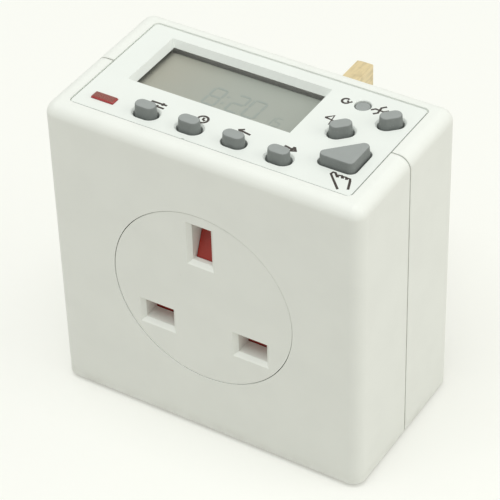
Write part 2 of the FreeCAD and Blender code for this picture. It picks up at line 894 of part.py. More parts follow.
def switched_live_strap():
    """Flat strap from the power board beside the relay up the closed end of the live clip."""
    right = relay_left - strap_relay_gap
    start = clip_end_y("live")
    return box(right - strap_width, right, start, start + strap_thickness,
               power_board_top, outlet_height + strap_reach)


def neutral_feed_strap():
    """Flat strap from the power board up the side of the neutral through strap."""
    left = -outlet_x + strap_offset + strap_thickness / 2
    back = back_inner - strap_wall_gap
    return box(left, left + strap_thickness, back - strap_width, back,
               power_board_top, outlet_height + strap_height / 2)


def pin(name):
    """Plug pin with a chamfered tip, a flange behind the base wall and a root inside."""
    x, z, half, tall, length = pin_places()[name]
    tip_y = base_y + length
    shoulder_y = tip_y - pin_tip_chamfer
    tip = taper(x, z, half, tall, pin_tip_draw, shoulder_y, tip_y)
    flange = pin_bar(name, pin_flange_margin, flange_y, base_inner_y)
    body = fused([pin_bar(name, 0, root_y, shoulder_y), tip, flange])
    return body if name == "earth" else body.cut(pin_sleeve(name, 1))


def pin_sleeve(name, spare):
    """Insulating sleeve flush with a flat pin; spare makes it wider, for the seat cut in the pin."""
    start = base_y - plug_base_wall / 2
    end = base_y + sleeve_length
    return pin_bar(name, spare, start, end).cut(pin_bar(name, -sleeve_wall, start - 1, end + 1))


def pin_sleeves():
    """Insulating sleeves of the two flat pins."""
    return group([pin_sleeve(name, 0) for name in ("live", "neutral")])


def pin_retainer():
    """Plate staked inside the plug base that keeps the pins' flanges against the wall."""
    reach = outlet_x + flat_pin_width / 2 + pin_flange_margin + retainer_margin
    low = outlet_height - flat_pin_height / 2 - pin_flange_margin - retainer_margin
    high = earth_height + earth_pin_height / 2 + pin_flange_margin + retainer_margin
    body = box(-reach, reach, flange_y - retainer_thickness, flange_y, low, high)
    for name in pin_places():
        body = body.cut(pin_bar(name, pin_hole_clearance, root_y, base_y))
    for x, z in peg_places():
        body = body.cut(square_bar(x, z, retainer_peg_size + 2 * peg_clearance, root_y, base_y))
    return body


def panel_posts():
    """Screw posts under the panel, at opposite corners, as (x, y)."""
    x = panel_right - panel_post_inset[0]
    y = panel_back - panel_post_inset[1]
    return [(-x, y), (x, -y)]


def panel_rests():
    """Posts that the control board lies against, as (x, y)."""
    x = panel_right - panel_post_inset[0]
    return [(-x, panel_front + panel_rest_inset), (x, panel_back - panel_post_inset[1])]


def window_corners(grow):
    """The display window's outline, grown or drawn in."""
    return rectangle(window_left - grow, window_right + grow, window_front - grow, window_back + grow)


def control_panel():
    """Panel moulding: plate, skirt and flange, with a bevelled window, key holes and posts."""
    body = rounded_plate(rectangle(panel_left, panel_right, panel_front, panel_back), panel_corner,
                         level(skirt_low), V(0, 0, panel_top - skirt_low))
    body = body.makeChamfer(panel_edge, edges_at_height(body, panel_top))
    grow = panel_flange_width
    flange = box(panel_left - grow, panel_right + grow, panel_front - grow, panel_back + grow,
                 skirt_low, inner_top - panel_flange_clearance)
    wall = panel_skirt_wall
    body = fused([body, flange]).cut(box(panel_left + wall, panel_right - wall, panel_front + wall,
                                         panel_back - wall, skirt_low - 1, panel_under))
    root = panel_under + panel_plate / 4
    posts = []
    for places, size in ((panel_posts(), panel_post_size), (panel_rests(), panel_rest_size)):
        half = size / 2
        posts += [box(x - half, x + half, y - half, y + half, control_board_top, root) for x, y in places]
    body = fused([body] + posts)
    for x, y in panel_posts():
        body = body.cut(rod(board_screw_radius + thread_clearance, V(x, y, control_board_top - 1),
                            V(x, y, control_board_top + board_screw_grip + screw_end_gap)))
    rims = [loop(window_corners(grow), level(z))
            for grow, z in ((0.02, panel_top + 0.02), (-window_bevel, panel_under - 0.02))]
    body = body.cut(Part.makeLoft(rims, True, True))
    for name, skeleton in key_table().items():
        hole = Part.Face(outline(skeleton, hole_radius(name), panel_under - 1))
        body = body.cut(hole.extrude(V(0, 0, panel_plate + 2)))
    half_w = lens_width / 2 + lens_clearance
    half_d = lens_depth / 2 + lens_clearance
    body = body.cut(box(lens_x - half_w, lens_x + half_w, lens_y - half_d, lens_y + half_d,
                        panel_under - 1, panel_top + 1))
    notch_x = panel_left + pry_notch_inset
    return body.cut(rod(pry_notch_width / 2, V(notch_x, panel_front, panel_top - pry_notch_depth),
                        V(notch_x, panel_front, panel_top + 1)))


def display_window():
    """Clear pane under the bevelled window."""
    return plate(window_corners(pane_margin), level(pane_low), V(0, 0, pane_thickness))


def cell_corners():
    """Outline of the display's lower glass."""
    return window_corners(pane_margin - holder_wall - cell_clearance)


def lcd_cell():
    """Display: a lower glass with contact ledges and a narrower upper glass."""
    (x0, y0), _, (x1, y1), _ = cell_corners()
    lower = box(x0, x1, y0, y1, cell_low, cell_low + cell_glass)
    upper = box(x0, x1, y0 + cell_ledge, y1 - cell_ledge, cell_low + cell_glass, cell_top)
    return fused([lower, upper])


def zebra_places():
    """Each zebra strip's box in plan as (x0, x1, y0, y1)."""
    (x0, y0), _, (x1, y1), _ = cell_corners()
    left, right = x0 + zebra_end_margin, x1 - zebra_end_margin
    return [(left, right, y0 + holder_rib, y0 + holder_rib + zebra_width),
            (left, right, y1 - holder_rib - zebra_width, y1 - holder_rib)]


def zebra_strips():
    """Two elastomer strips that join the glass to the board."""
    return group([box(*place, control_board_top, cell_low) for place in zebra_places()])


def lcd_holder():
    """Frame on the board that holds the glass and the zebra strips."""
    body = plate(window_corners(pane_margin), level(control_board_top), V(0, 0, cell_top - control_board_top))
    (x0, y0), _, (x1, y1), _ = window_corners(pane_margin - holder_wall)
    body = body.cut(box(x0, x1, y0, y1, cell_low, case_height))
    gap = zebra_clearance
    for a0, a1, b0, b1 in zebra_places():
        body = body.cut(box(a0 - gap, a1 + gap, b0 - gap, b1 + gap, 0, case_height))
    rail = holder_rail
    return body.cut(box(x0 + rail, x1 - rail, y0 + rail, y1 - rail, 0, case_height))


def control_board():
    """Upper circuit board, screwed to the panel's posts."""
    half_x = control_board_width / 2
    half_y = control_board_depth / 2
    board = box(-half_x, half_x, -half_y, half_y, control_board_low, control_board_top)
    for x, y in panel_posts():
        board = board.cut(rod(board_screw_radius + shank_clearance, V(x, y, 0), V(x, y, case_height)))
    return board


def board_screws():
    """Two small screws that hold the control board to the panel."""
    return group([screw(V(x, y, control_board_low), V(0, 0, 1), board_screw_radius,
                        board_thickness + board_screw_grip, board_screw_head_radius, board_screw_head)
                  for x, y in panel_posts()])


def plunger_box(name, grow, z0, z1):
    """Block along a key's plunger, grown on its four sides."""
    x, y = key_middle(name)
    half_x = plunger_width / 2 + grow
    half_y = plunger_depth / 2 + grow
    return box(x - half_x, x + half_x, y - half_y, y + half_y, z0, z1)


def keypad_mat():
    """Rubber sheet on the board with a collared well round every key's plunger."""
    half_x = control_board_width / 2 - mat_margin
    half_y = control_board_depth / 2 - mat_margin
    strip_left = panel_left + row_left_inset - mat_row_left
    strip_back = window_front - pane_margin - mat_holder_gap
    block_left = window_right + pane_margin + mat_holder_gap
    corners = [(strip_left, -half_y), (half_x, -half_y), (half_x, half_y), (block_left, half_y),
               (block_left, strip_back), (strip_left, strip_back)]
    top = control_board_top + mat_thickness
    pieces = [plate(corners, level(control_board_top), V(0, 0, mat_thickness))]
    for name in key_table():
        grow = mat_well_clearance + mat_collar_wall
        pieces.append(plunger_box(name, grow, top - mat_thickness / 2, top + mat_collar_height))
    body = fused(pieces)
    for name in key_table():
        body = body.cut(plunger_box(name, mat_well_clearance, 0, case_height))
    for x, y in panel_posts() + panel_rests():
        reach = panel_post_size / 2 + mat_post_clearance
        body = body.cut(box(x - reach, x + reach, y - reach, y + reach, 0, case_height))
    return body


def key_flange(name, radius, low, high):
    """Flange that stops a key under the panel: square in the row, eight-sided round the others."""
    skeleton = key_table()[name]
    if name in row_names or name == "reset_key":
        (x0, y0), (x1, y1) = skeleton[0], skeleton[-1]
        return box(x0 - radius, x1 + radius, y0 - radius, y1 + radius, low, high)
    return plate(eight_sided(skeleton, radius), level(low), V(0, 0, high - low))


def key(name):
    """Key: a rubber cap, a flange under the panel and a plunger in the mat."""
    radius = cap_radius(name)
    flange_top = panel_under - key_flange_gap
    flange_low = flange_top - key_flange_thickness
    top = panel_top - reset_recess if name == "reset_key" else panel_top + key_proud
    cap = Part.Face(outline(key_table()[name], radius, flange_low)).extrude(V(0, 0, top - flange_low))
    flange = key_flange(name, radius + key_flange_width, flange_low, flange_top)
    plunger = plunger_box(name, 0, key_bottom(name), flange_low + key_flange_thickness / 2)
    return fused([cap, flange, plunger])


def key_pill(name):
    """Conductive pill under a key's plunger, which bridges the board's contacts."""
    x, y = key_middle(name)
    high = key_bottom(name)
    return box(x - pill_width / 2, x + pill_width / 2, y - pill_depth / 2, y + pill_depth / 2,
               high - pill_thickness, high)


def led_lens():
    """Oblong lens let into the panel, with a flange behind it."""
    half_w = lens_width / 2
    half_d = lens_depth / 2
    top = panel_top + lens_proud
    low = panel_under - lens_flange_thickness
    body = box(lens_x - half_w, lens_x + half_w, lens_y - half_d, lens_y + half_d, low, top)
    body = body.makeChamfer(lens_bevel, edges_at_height(body, top))
    grow = lens_flange
    flange = box(lens_x - half_w - grow, lens_x + half_w + grow, lens_y - half_d - grow,
                 lens_y + half_d + grow, low, panel_under)
    return fused([body, flange])


def indicator_led():
    """Light-emitting diode on the control board, below the lens."""
    crown = panel_under - lens_flange_thickness - led_gap
    return rod(led_radius, V(lens_x, lens_y, control_board_top), V(lens_x, lens_y, crown))


def controller_chip():
    """Flat chip under the control board with gull-wing leads on two sides."""
    x, y = chip_at
    half_w = chip_width / 2
    half_l = chip_length / 2
    top = control_board_low - chip_standoff
    pieces = [box(x - half_w, x + half_w, y - half_l, y + half_l, top - chip_thickness, top)]
    middle = top - chip_thickness / 2
    foot = control_board_low - chip_lead_thickness / 2
    for side in SIDES:
        knee = x + side * (half_w + chip_lead_reach / 2)
        toe = x + side * (half_w + chip_lead_reach)
        points = [(x + side * (half_w - 0.2), middle), (knee, middle), (knee, foot), (toe, foot)]
        for i in range(chip_lead_count):
            along = y + (i - (chip_lead_count - 1) / 2) * chip_lead_pitch
            pieces.append(strip(points, chip_lead_thickness, 0, facing(along - chip_lead_width / 2),
                                V(0, chip_lead_width, 0)))
    return fused(pieces)


def quartz_crystal():
    """Tuning crystal in its can, lying against the control board."""
    x, y = crystal_at
    z = control_board_low - crystal_radius
    return rod(crystal_radius, V(x, y - crystal_length / 2, z), V(x, y + crystal_length / 2, z))


def backup_cell():
    """Rechargeable button cell under the control board."""
    low = control_board_low - backup_cell_height
    return rod(backup_cell_radius, V(*backup_cell_at, low), V(*backup_cell_at, control_board_low))


def power_board():
    """Lower circuit board, on the rests of both shells."""
    half = power_board_width / 2
    return box(-half, half, power_board_front, power_board_back, power_board_height, power_board_top)


def moulded_block(x0, x1, y0, y1, top):
    """Moulded component with a bevelled top standing on the power board."""
    block = box(x0, x1, y0, y1, power_board_top, top)
    return block.makeChamfer(part_chamfer, edges_at_height(block, top))


def relay():
    """Relay below the live contact, reaching to the board's right edge."""
    return moulded_block(relay_left, power_board_width / 2 - relay_edge, parts_front + relay_set_back,
                         relay_back, contacts_low - relay_headroom)


def dropper_capacitor():
    """Film capacitor that drops the mains voltage, at the board's left edge."""
    return moulded_block(-power_board_width / 2 + dropper_edge, dropper_right, parts_front,
                         dropper_back, contacts_low - dropper_headroom)


def smoothing_capacitor():
    """Electrolytic can standing behind the varistor."""
    return rod(smoothing_radius, V(smoothing_x, smoothing_y, power_board_top),
               V(smoothing_x, smoothing_y, contacts_low - smoothing_headroom))


def varistor():
    """Disc varistor standing on its two leads."""
    half = varistor_thickness / 2
    centre = power_board_top + varistor_lift + varistor_radius
    pieces = [rod(varistor_radius, V(smoothing_x - half, varistor_y, centre),
                  V(smoothing_x + half, varistor_y, centre))]
    grow = lead_size / 2
    for side in SIDES:
        y = varistor_y + side * lead_pitch / 2
        pieces.append(box(smoothing_x - grow, smoothing_x + grow, y - grow, y + grow,
                          power_board_top, centre))
    return fused(pieces)


def bridge_rectifier():
    """Four-legged bridge rectifier between the capacitors and the straps."""
    x, y = rectifier_at
    half_x, half_y, tall = rectifier_size[0] / 2, rectifier_size[1] / 2, rectifier_size[2]
    low = power_board_top + rectifier_lift
    pieces = [box(x - half_x, x + half_x, y - half_y, y + half_y, low, low + tall)]
    grow = lead_size / 2
    for side in SIDES:
        for end in SIDES:
            a = x + side * lead_pitch / 2
            b = y + end * lead_pitch / 2
            pieces.append(box(a - grow, a + grow, b - grow, b + grow, power_board_top, low + tall / 2))
    return fused(pieces)


def board_link():
    """Flat ribbon of cores between the two boards, grooved between the cores."""
    front = ribbon_y - ribbon_thickness / 2
    back = ribbon_y + ribbon_thickness / 2
    left = ribbon_x - ribbon_pitch * ribbon_ways / 2
    near, far = [], []
    for i in range(ribbon_ways + 1):
        inset = 0 if i in (0, ribbon_ways) else ribbon_groove
        near.append((left + i * ribbon_pitch, front + inset))
        far.append((left + i * ribbon_pitch, back - inset))
        if i < ribbon_ways:
            near.append((left + (i + 0.5) * ribbon_pitch, front))
            far.append((left + (i + 0.5) * ribbon_pitch, back))
    return plate(near + far[::-1], level(power_board_top), V(0, 0, control_board_low - power_board_top))


def build():
    """Every node's shape by name."""
    nodes = {"front_case": front_case(), "rear_case": rear_case(), "case_screws": case_screws(),
             "outlet_insert": outlet_insert(), "shutter": shutter(), "shutter_spring": shutter_spring(),
             "contact_carrier": contact_carrier(),
             "pin_sleeves": pin_sleeves(), "pin_retainer": pin_retainer(),
             "neutral_strap": through_strap("neutral"), "earth_strap": through_strap("earth"),
             "live_feed_strap": live_feed_strap(), "switched_live_strap": switched_live_strap(),
             "neutral_feed_strap": neutral_feed_strap(),
             "control_panel": control_panel(), "display_window": display_window(),
             "lcd_cell": lcd_cell(), "lcd_holder": lcd_holder(), "zebra_strips": zebra_strips(),
             "control_board": control_board(), "board_screws": board_screws(),
             "keypad_mat": keypad_mat(), "led_lens": led_lens(), "indicator_led": indicator_led(),
             "controller_chip": controller_chip(), "quartz_crystal": quartz_crystal(),
             "backup_cell": backup_cell(), "power_board": power_board(), "relay": relay(),
             "dropper_capacitor": dropper_capacitor(), "smoothing_capacitor": smoothing_capacitor(),
             "varistor": varistor(), "bridge_rectifier": bridge_rectifier(), "board_link": board_link()}
    for name in pin_places():
        nodes[name + "_pin"] = pin(name)
        nodes[name + "_clip"] = clip(name)
    for name in key_table():
        nodes[name] = key(name)
        nodes[name + "_pill"] = key_pill(name)
    return nodes


for node_name, shape in build().items():
    shape.exportStep("parts/%s.step" % node_name)
    facts = (node_name, len(shape.Solids), shape.isValid(), shape.Volume)
    print("%-22s solids %d  valid %s  volume %.1f" % facts)
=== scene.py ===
"""Looks of a plug-in timer around its packed frame, laid out as an add-on and run as a script."""

import json
import math

import bmesh
import bpy
from bpy.props import FloatProperty, FloatVectorProperty, IntProperty, PointerProperty, StringProperty
from bpy.types import Operator, Panel, PropertyGroup
from mathutils import Matrix, Vector

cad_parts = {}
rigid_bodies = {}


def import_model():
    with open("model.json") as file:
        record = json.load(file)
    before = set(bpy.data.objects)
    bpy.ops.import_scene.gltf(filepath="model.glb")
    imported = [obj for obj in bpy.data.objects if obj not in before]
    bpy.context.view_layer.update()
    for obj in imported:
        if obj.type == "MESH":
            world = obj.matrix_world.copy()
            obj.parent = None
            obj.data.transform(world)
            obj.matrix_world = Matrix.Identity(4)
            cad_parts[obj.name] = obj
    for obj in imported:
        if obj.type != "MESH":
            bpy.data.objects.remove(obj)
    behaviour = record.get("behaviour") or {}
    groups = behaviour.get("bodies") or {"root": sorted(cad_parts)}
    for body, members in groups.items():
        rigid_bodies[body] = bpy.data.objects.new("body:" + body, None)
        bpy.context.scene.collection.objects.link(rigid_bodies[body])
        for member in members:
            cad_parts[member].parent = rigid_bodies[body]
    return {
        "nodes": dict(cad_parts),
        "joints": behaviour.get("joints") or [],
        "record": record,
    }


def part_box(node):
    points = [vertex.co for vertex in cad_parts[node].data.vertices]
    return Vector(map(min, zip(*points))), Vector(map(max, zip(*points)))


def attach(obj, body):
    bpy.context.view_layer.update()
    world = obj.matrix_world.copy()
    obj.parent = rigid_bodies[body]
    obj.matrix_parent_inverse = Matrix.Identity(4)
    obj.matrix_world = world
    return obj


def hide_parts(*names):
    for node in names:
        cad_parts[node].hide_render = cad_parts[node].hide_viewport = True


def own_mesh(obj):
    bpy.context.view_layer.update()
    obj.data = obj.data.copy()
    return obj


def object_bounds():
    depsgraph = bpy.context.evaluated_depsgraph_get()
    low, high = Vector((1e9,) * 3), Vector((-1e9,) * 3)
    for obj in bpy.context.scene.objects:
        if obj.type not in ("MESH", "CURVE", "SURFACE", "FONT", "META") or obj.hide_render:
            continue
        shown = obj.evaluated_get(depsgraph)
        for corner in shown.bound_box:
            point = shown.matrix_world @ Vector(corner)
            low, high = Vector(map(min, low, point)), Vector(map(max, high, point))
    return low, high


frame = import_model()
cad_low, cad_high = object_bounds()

bl_info = {
    "name": "Plug-in timer finish",
    "version": (1, 0, 0),
    "blender": (4, 5, 0),
    "location": "View3D > Sidebar > Timer",
    "description": "Mouldings, keys, display, outlet, pins and finishes of a plug-in timer",
    "category": "Object",
}

MM = 0.001
BODY = "timer"  # carries every piece but the keys and the shutter
FINISH = "finish_"  # stands before the slot in the name of its material
MERGE = 1e-6  # corners closer than this are one
LEVEL = 10 * MERGE  # corners this close to the top lie in it
FLAT = math.radians(0.4)  # faces that meet at less than this are one
HARD = math.radians(33)  # edges sharper than this are rounded
SEAM_REACH = 0.2 * MM  # edges this close to y = 0 follow the parting line
UPRIGHT = 0.1  # most y in the normal of a face that runs front to back
PANEL_RIM = 1.25 * MM  # width of the panel's rim that its wider gap moves
RING_POINTS = 72  # round a key's cap
ROUND_STEPS = 6  # up a key's round-over
BOOLEAN_SCALE = 1000.0  # booleans work in millimetres, well above their tolerance
# colour of the darker patches towards the bottom and along the parting line
LOW_SEAM_TONE = 0.42, 0.40, 0.34
TRACK_PITCH = 2.54 * MM
SEGMENT_LEVELS = 0.005 * MM, 0.03 * MM  # foot and top of a segment over the cell
DOT_LEVELS = 0.3, 0.7  # a colon's dots, as shares of the digits' height
TIP_INSET = 0.3  # how far a segment's tips draw in, as a share of half its width
FLOOR_REACH = 3.0  # from the middle of the floor to its sides
SENSOR = 36.0  # width of the camera's sensor in millimetres
CLIP = 0.01, 20.0  # what the camera sees lies between these distances


# Sizes and colours that a user would change

def setting(kind, convert=None, **limits):
    """A function that makes such a property from its name, its description and its default."""
    def make(name, description, value):
        return kind(name=name, description=description, default=convert(value) if convert else value,
                    **limits)
    return make


def metres(value):
    """Millimetres in metres."""
    return value * MM


number = setting(FloatProperty, min=0.0)
power = setting(FloatProperty, min=0.0, unit="POWER")
share = setting(FloatProperty, min=0.0, max=1.0, subtype="FACTOR")
length = setting(FloatProperty, metres, min=0.0, precision=5, subtype="DISTANCE", unit="LENGTH")
angle = setting(FloatProperty, math.radians, subtype="ANGLE", unit="ROTATION")
focus = setting(FloatProperty, min=1.0, unit="CAMERA")
colour = setting(FloatVectorProperty, size=3, min=0.0, max=1.0, subtype="COLOR")
place = setting(FloatVectorProperty, size=3, precision=5, subtype="TRANSLATION", unit="LENGTH")
text = setting(StringProperty)
turns = setting(IntProperty, min=3, max=40)


class MouldingSettings(PropertyGroup):
    """White mouldings: housing shells, outlet insert and control panel."""

    softness: length("Edge softness", "Radius left on the moulded edges", 0.14)
    panel_softness: length("Panel softness", "Radius on the panel's rim and window", 0.15)
    hole_lip: length("Hole lip", "Chamfer on the rims of the panel's key holes", 0.4)
    reset_lip: length("Reset lip", "Chamfer on the rim of the round reset hole", 0.15)
    rim_softness: length("Rim softness", "Radius behind the panel", 0.2)
    seam_softness: length("Seam softness", "Radius along the parting line and in front of the panel", 0.34)
    panel_play: length("Panel play", "How much wider the panel's gap is at its front and right", 0.2)
    white: colour("Housing white", "Colour of the housing shells", (0.865, 0.888, 0.845))
    panel_white: colour("Panel white", "Colour of the control panel", (0.842, 0.878, 0.842))
    grain: length("Grain", "Size of the fine moulded texture", 0.28)
    # strength of the darker patches towards the bottom and along the parting line
    soiling: share("Soiling", "Strength of the dust in the low edges and along the parting line", 0.35)


class KeySettings(PropertyGroup):
    """Rubber keys of the control panel."""

    margin: length("Flange margin", "How far the foot flange stands out round a cap", 0.6)
    flange: length("Flange", "Thickness of the foot flange that stops a key", 0.8)
    flange_depth: length("Flange depth", "From the panel's top down to the flange's underside", 2.7)
    corner_radius: length("Corner radius", "Radius of the three-cornered key's cap", 1.35)
    waist: length("Waist", "How far a cap's side stands in from the side of its solid", 0.15)
    draft: length("Draft", "How far a cap's side leans in over its height", 0.13)
    reset_draft: length("Reset draft", "How far the round reset key's side leans in", 0.04)
    round_over: length("Round-over", "Radius between a cap's side and its top", 0.3)
    crown: length("Crown", "How far the middle of a cap's top stands over its rim", 0.05)
    edge: length("Edge", "Radius left on the flange and the plunger", 0.06)
    plunger_width: length("Plunger width", "Plunger under a cap, along the panel", 2.6)
    plunger_depth: length("Plunger depth", "Plunger under a cap, across the panel", 2.0)
    grey: colour("Key grey", "Colour of the rubber", (0.218, 0.236, 0.229))
    # painted light: the paler colour painted on faces that look up, also the base colour of the dust specks
    rubbed: colour("Rubbed grey", "Colour of the rubbed and dusty tops", (0.354, 0.378, 0.37))


class PanelPrintSettings(PropertyGroup):
    """Pictograms printed beside the keys."""

    stroke: length("Stroke", "Width of a printed line", 0.52)
    relief: length("Relief", "Height of the ink over the panel", 0.03)
    ink: colour("Ink", "Colour of the print", (0.04, 0.03, 0.025))


class DisplaySettings(PropertyGroup):
    """Liquid crystal display under its window."""

    cover: length("Cover", "How far the panel covers the pane on each side", 2.0)
    pane_edge: length("Pane edge", "Radius left on the pane's edges", 0.08)
    left: length("Left margin", "From the cell's left end to the first digit", 15.4)
    front: length("Front margin", "From the cell's front to the foot of the digits", 4.4)
    digit_height: length("Digit height", "Height of the large digits", 5.8)
    digit_width: length("Digit width", "Width of the large digits", 2.8)
    segment: length("Segment", "Width of a segment", 0.6)
    spacing: length("Spacing", "Room between two digits", 1.0)
    lean: share("Lean", "Lean of the digits, as a share of their height", 0.03)
    reading: text("Reading", "What the large digits show", "8:20")
    seconds: text("Seconds", "What the small digits show", "15")
    small: share("Small digits", "Size of the small digits beside the large ones", 0.48)
    small_step: length("Small step", "From the first large digit to the first small one", 14.4)
    glass: colour("Glass", "Colour of the cell at rest", (0.36, 0.385, 0.342))
    # painted sheen: the warmer colour painted towards the cell's left end
    glass_left_sheen: colour("Glass at the left", "Warmer colour of the cell's left end", (0.375, 0.365, 0.30))
    segment_grey: colour("Segment grey", "Colour of a faint segment", (0.305, 0.345, 0.315))


class MetalSettings(PropertyGroup):
    """Pins, screws and the shutter's spring."""

    brass: colour("Brass", "Colour of the machined pins", (0.78, 0.65, 0.40))
    steel: colour("Steel", "Colour of the plated screws", (0.56, 0.56, 0.55))
    pin_softness: length("Pin softness", "Radius left on the pins' machined edges", 0.12)
    sleeve_softness: length("Sleeve softness", "Radius left on the pins' sleeves", 0.06)
    case_head: length("Case head", "Radius of a case screw's head", 2.6)
    case_head_rise: length("Case head height", "Height of a case screw's head", 1.8)
    case_shank: length("Case shank", "Radius of a case screw's thread", 1.45)
    case_pitch: length("Case pitch", "Pitch of a case screw's thread", 1.1)
    board_head: length("Board head", "Radius of a board screw's head", 1.7)
    board_head_rise: length("Board head height", "Height of a board screw's head", 1.0)
    board_shank: length("Board shank", "Radius of a board screw's thread", 0.9)
    board_pitch: length("Board pitch", "Pitch of a board screw's thread", 0.8)
    recess: length("Recess", "Width of the cross recess in a case screw's head", 0.75)
    recess_depth: length("Recess depth", "Depth of that cross recess", 0.9)
    coils: turns("Coils", "Turns of the shutter's spring", 14)
    wire: length("Wire", "Diameter of the spring's wire", 0.36)


class StageSettings(PropertyGroup):
    """Floor, light and camera."""

    azimuth: angle("Azimuth", "Where the camera stands round the part", 32.401)
    elevation: angle("Elevation", "Height of the camera as an angle", 38.920)
    roll: angle("Roll", "Turn of the camera about its own axis", -1.821)
    distance: length("Distance", "From the camera to the point that it looks at", 477.5)
    target: place("Target", "Point that the camera looks at", (-0.18 * MM, -0.77 * MM, 34.87 * MM))
    lens: focus("Lens", "Focal length of the camera", 166.694)
    ambient: number("Ambient", "Strength of the even room light", 0.545)
    ambient_tint: colour("Ambient tint", "Colour of the even room light", (1.0, 0.99, 0.945))
    backdrop: colour("Backdrop", "Colour behind everything, for the camera only", (0.985, 0.985, 0.93))
    overhead: power("Overhead", "Power of the soft lamp above", 15.6)
    overhead_place: place("Overhead place", "Middle of the lamp above", (0.0, -0.35, 1.7))
    overhead_size: length("Overhead size", "Side of the lamp above", 1400)
    overhead_tint: colour("Overhead tint", "Colour of the lamp above", (0.97, 1.0, 0.99))
    side: power("Side", "Power of the soft lamp on the right", 5.8)
    side_place: place("Side place", "Middle of the lamp on the right", (1.4, 0.4, 0.6))
    side_size: length("Side size", "Side of the lamp on the right", 1200)
    side_tint: colour("Side tint", "Colour of the lamp on the right", (1.0, 0.99, 0.95))
    floor_gap: length("Floor gap", "From the underside down to the floor", 0.7)
    floor: colour("Floor", "Colour of the floor as the camera sees it", (0.60, 0.60, 0.585))
    lift: colour("Lift", "Even brightness that the floor shows to the camera only", (0.355, 0.36, 0.33))
    bounce: colour("Bounce", "Colour of the floor in the light that it throws back", (0.655, 0.645, 0.60))


SETTINGS = {
    "timer_moulding": MouldingSettings,
    "timer_keys": KeySettings,
    "timer_print": PanelPrintSettings,
    "timer_display": DisplaySettings,
    "timer_metal": MetalSettings,
    "timer_stage": StageSettings,
}


# Node trees

def joining(operation, reflected=False):
    """An operator that adds a Math node."""
    def operator(self, other):
        return self.web.maths(operation, *((other, self) if reflected else (self, other)))
    return operator


class Signal:
    """An output socket that takes part in Python arithmetic."""

    __add__, __radd__ = joining("ADD"), joining("ADD", True)
    __sub__, __rsub__ = joining("SUBTRACT"), joining("SUBTRACT", True)
    __mul__, __rmul__ = joining("MULTIPLY"), joining("MULTIPLY", True)
    __truediv__ = joining("DIVIDE")

    def __init__(self, web, socket):
        self.web = web
        self.socket = socket

    def ramp(self, low, high):
        """0 below low, 1 above high, and a smooth rise between them."""
        return self.web.node("ShaderNodeMapRange", {"interpolation_type": "SMOOTHSTEP"},
                             {0: self, 1: low, 2: high})


class Web:
    """A node tree whose nodes all come from one method."""

    def __init__(self, tree):
        self.tree = tree

    def node(self, kind, settings=None, inputs=None, output=0):
        """The output of any node: its settings are set first, then its sockets' values or links."""
        made = self.tree.nodes.new(kind)
        for key, value in (settings or {}).items():
            setattr(made, key, value)
        for key, value in (inputs or {}).items():
            self.feed(made.inputs[key], value)
        return None if output is None else Signal(self, made.outputs[output])

    def feed(self, socket, value):
        """Links a signal, or each of a list of signals, to a socket, or sets the socket's value."""
        if isinstance(value, (Signal, list)):
            for signal in value if isinstance(value, list) else [value]:
                self.tree.links.new(signal.socket, socket)
        elif socket.type == "RGBA":
            socket.default_value = (*value, 1.0)
        else:
            socket.default_value = value

    def maths(self, operation, *values):
        """A Math node on one or two values."""
        return self.node("ShaderNodeMath", {"operation": operation}, dict(enumerate(values)))


class Shading(Web):
    """The node tree of a material or of the world."""

    def mix(self, factor, first, second):
        """A colour between two colours."""
        return self.node("ShaderNodeMix", {"data_type": "RGBA"}, {0: factor, 6: first, 7: second}, 2)

    def looking(self):
        """1 for what the camera sees, also reflected or through glass, and 0 for what lights the part."""
        camera, glossy, through = [self.node("ShaderNodeLightPath", output=f"Is {ray} Ray")
                                   for ray in ("Camera", "Glossy", "Transmission")]
        return self.maths("MAXIMUM", self.maths("MAXIMUM", camera, glossy), through)


class Paint(Shading):
    """The node tree of one material, made round its Principled BSDF."""

    def __init__(self, name):
        self.material = bpy.data.materials.new(name)
        self.material.use_nodes = True
        super().__init__(self.material.node_tree)
        self.surface = self.tree.nodes["Principled BSDF"]
        self.place = self.node("ShaderNodeTexCoord", output="Object")

    def set(self, **values):
        """Values or links of the Principled BSDF's sockets, with _ for a space."""
        for key, value in values.items():
            self.feed(self.surface.inputs[key.replace("_", " ")], value)
        return self.material

    def textured(self, tone, roughness, height, relief, **values):
        """The material with these values, bumped by a height from 0 to 1 over a relief in millimetres."""
        normal = self.node("ShaderNodeBump", {}, {"Height": height, "Distance": relief * MM, "Strength": 1.0})
        return self.set(Base_Color=tone, Roughness=roughness, Normal=normal, **values)

    def stretched(self, scale):
        """Object coordinates scaled along the three axes."""
        return self.node("ShaderNodeMapping", {}, {"Vector": self.place, "Scale": scale})

    def noise(self, size, detail=3.0, roughness=0.5, place=None):
        """Noise from 0 to 1 whose features are about as large as size, in metres."""
        return self.node("ShaderNodeTexNoise", {}, {
            "Vector": place or self.place, "Scale": 1.0 / size, "Detail": detail, "Roughness": roughness})

    def axis(self, name):
        """One of the object coordinates."""
        return self.node("ShaderNodeSeparateXYZ", {}, {0: self.place}, name)

    def upward(self):
        """1 on faces that look up, 0 on those that look sideways or down."""
        normal = self.node("ShaderNodeTexCoord", output="Normal")
        return self.node("ShaderNodeSeparateXYZ", {}, {0: normal}, "Z").ramp(0.6, 0.97)


# Finishes, one function for each kind of surface

def shade(base, factor):
    """A darker or lighter colour of the same hue."""
    return tuple(min(1.0, c * factor) for c in base)


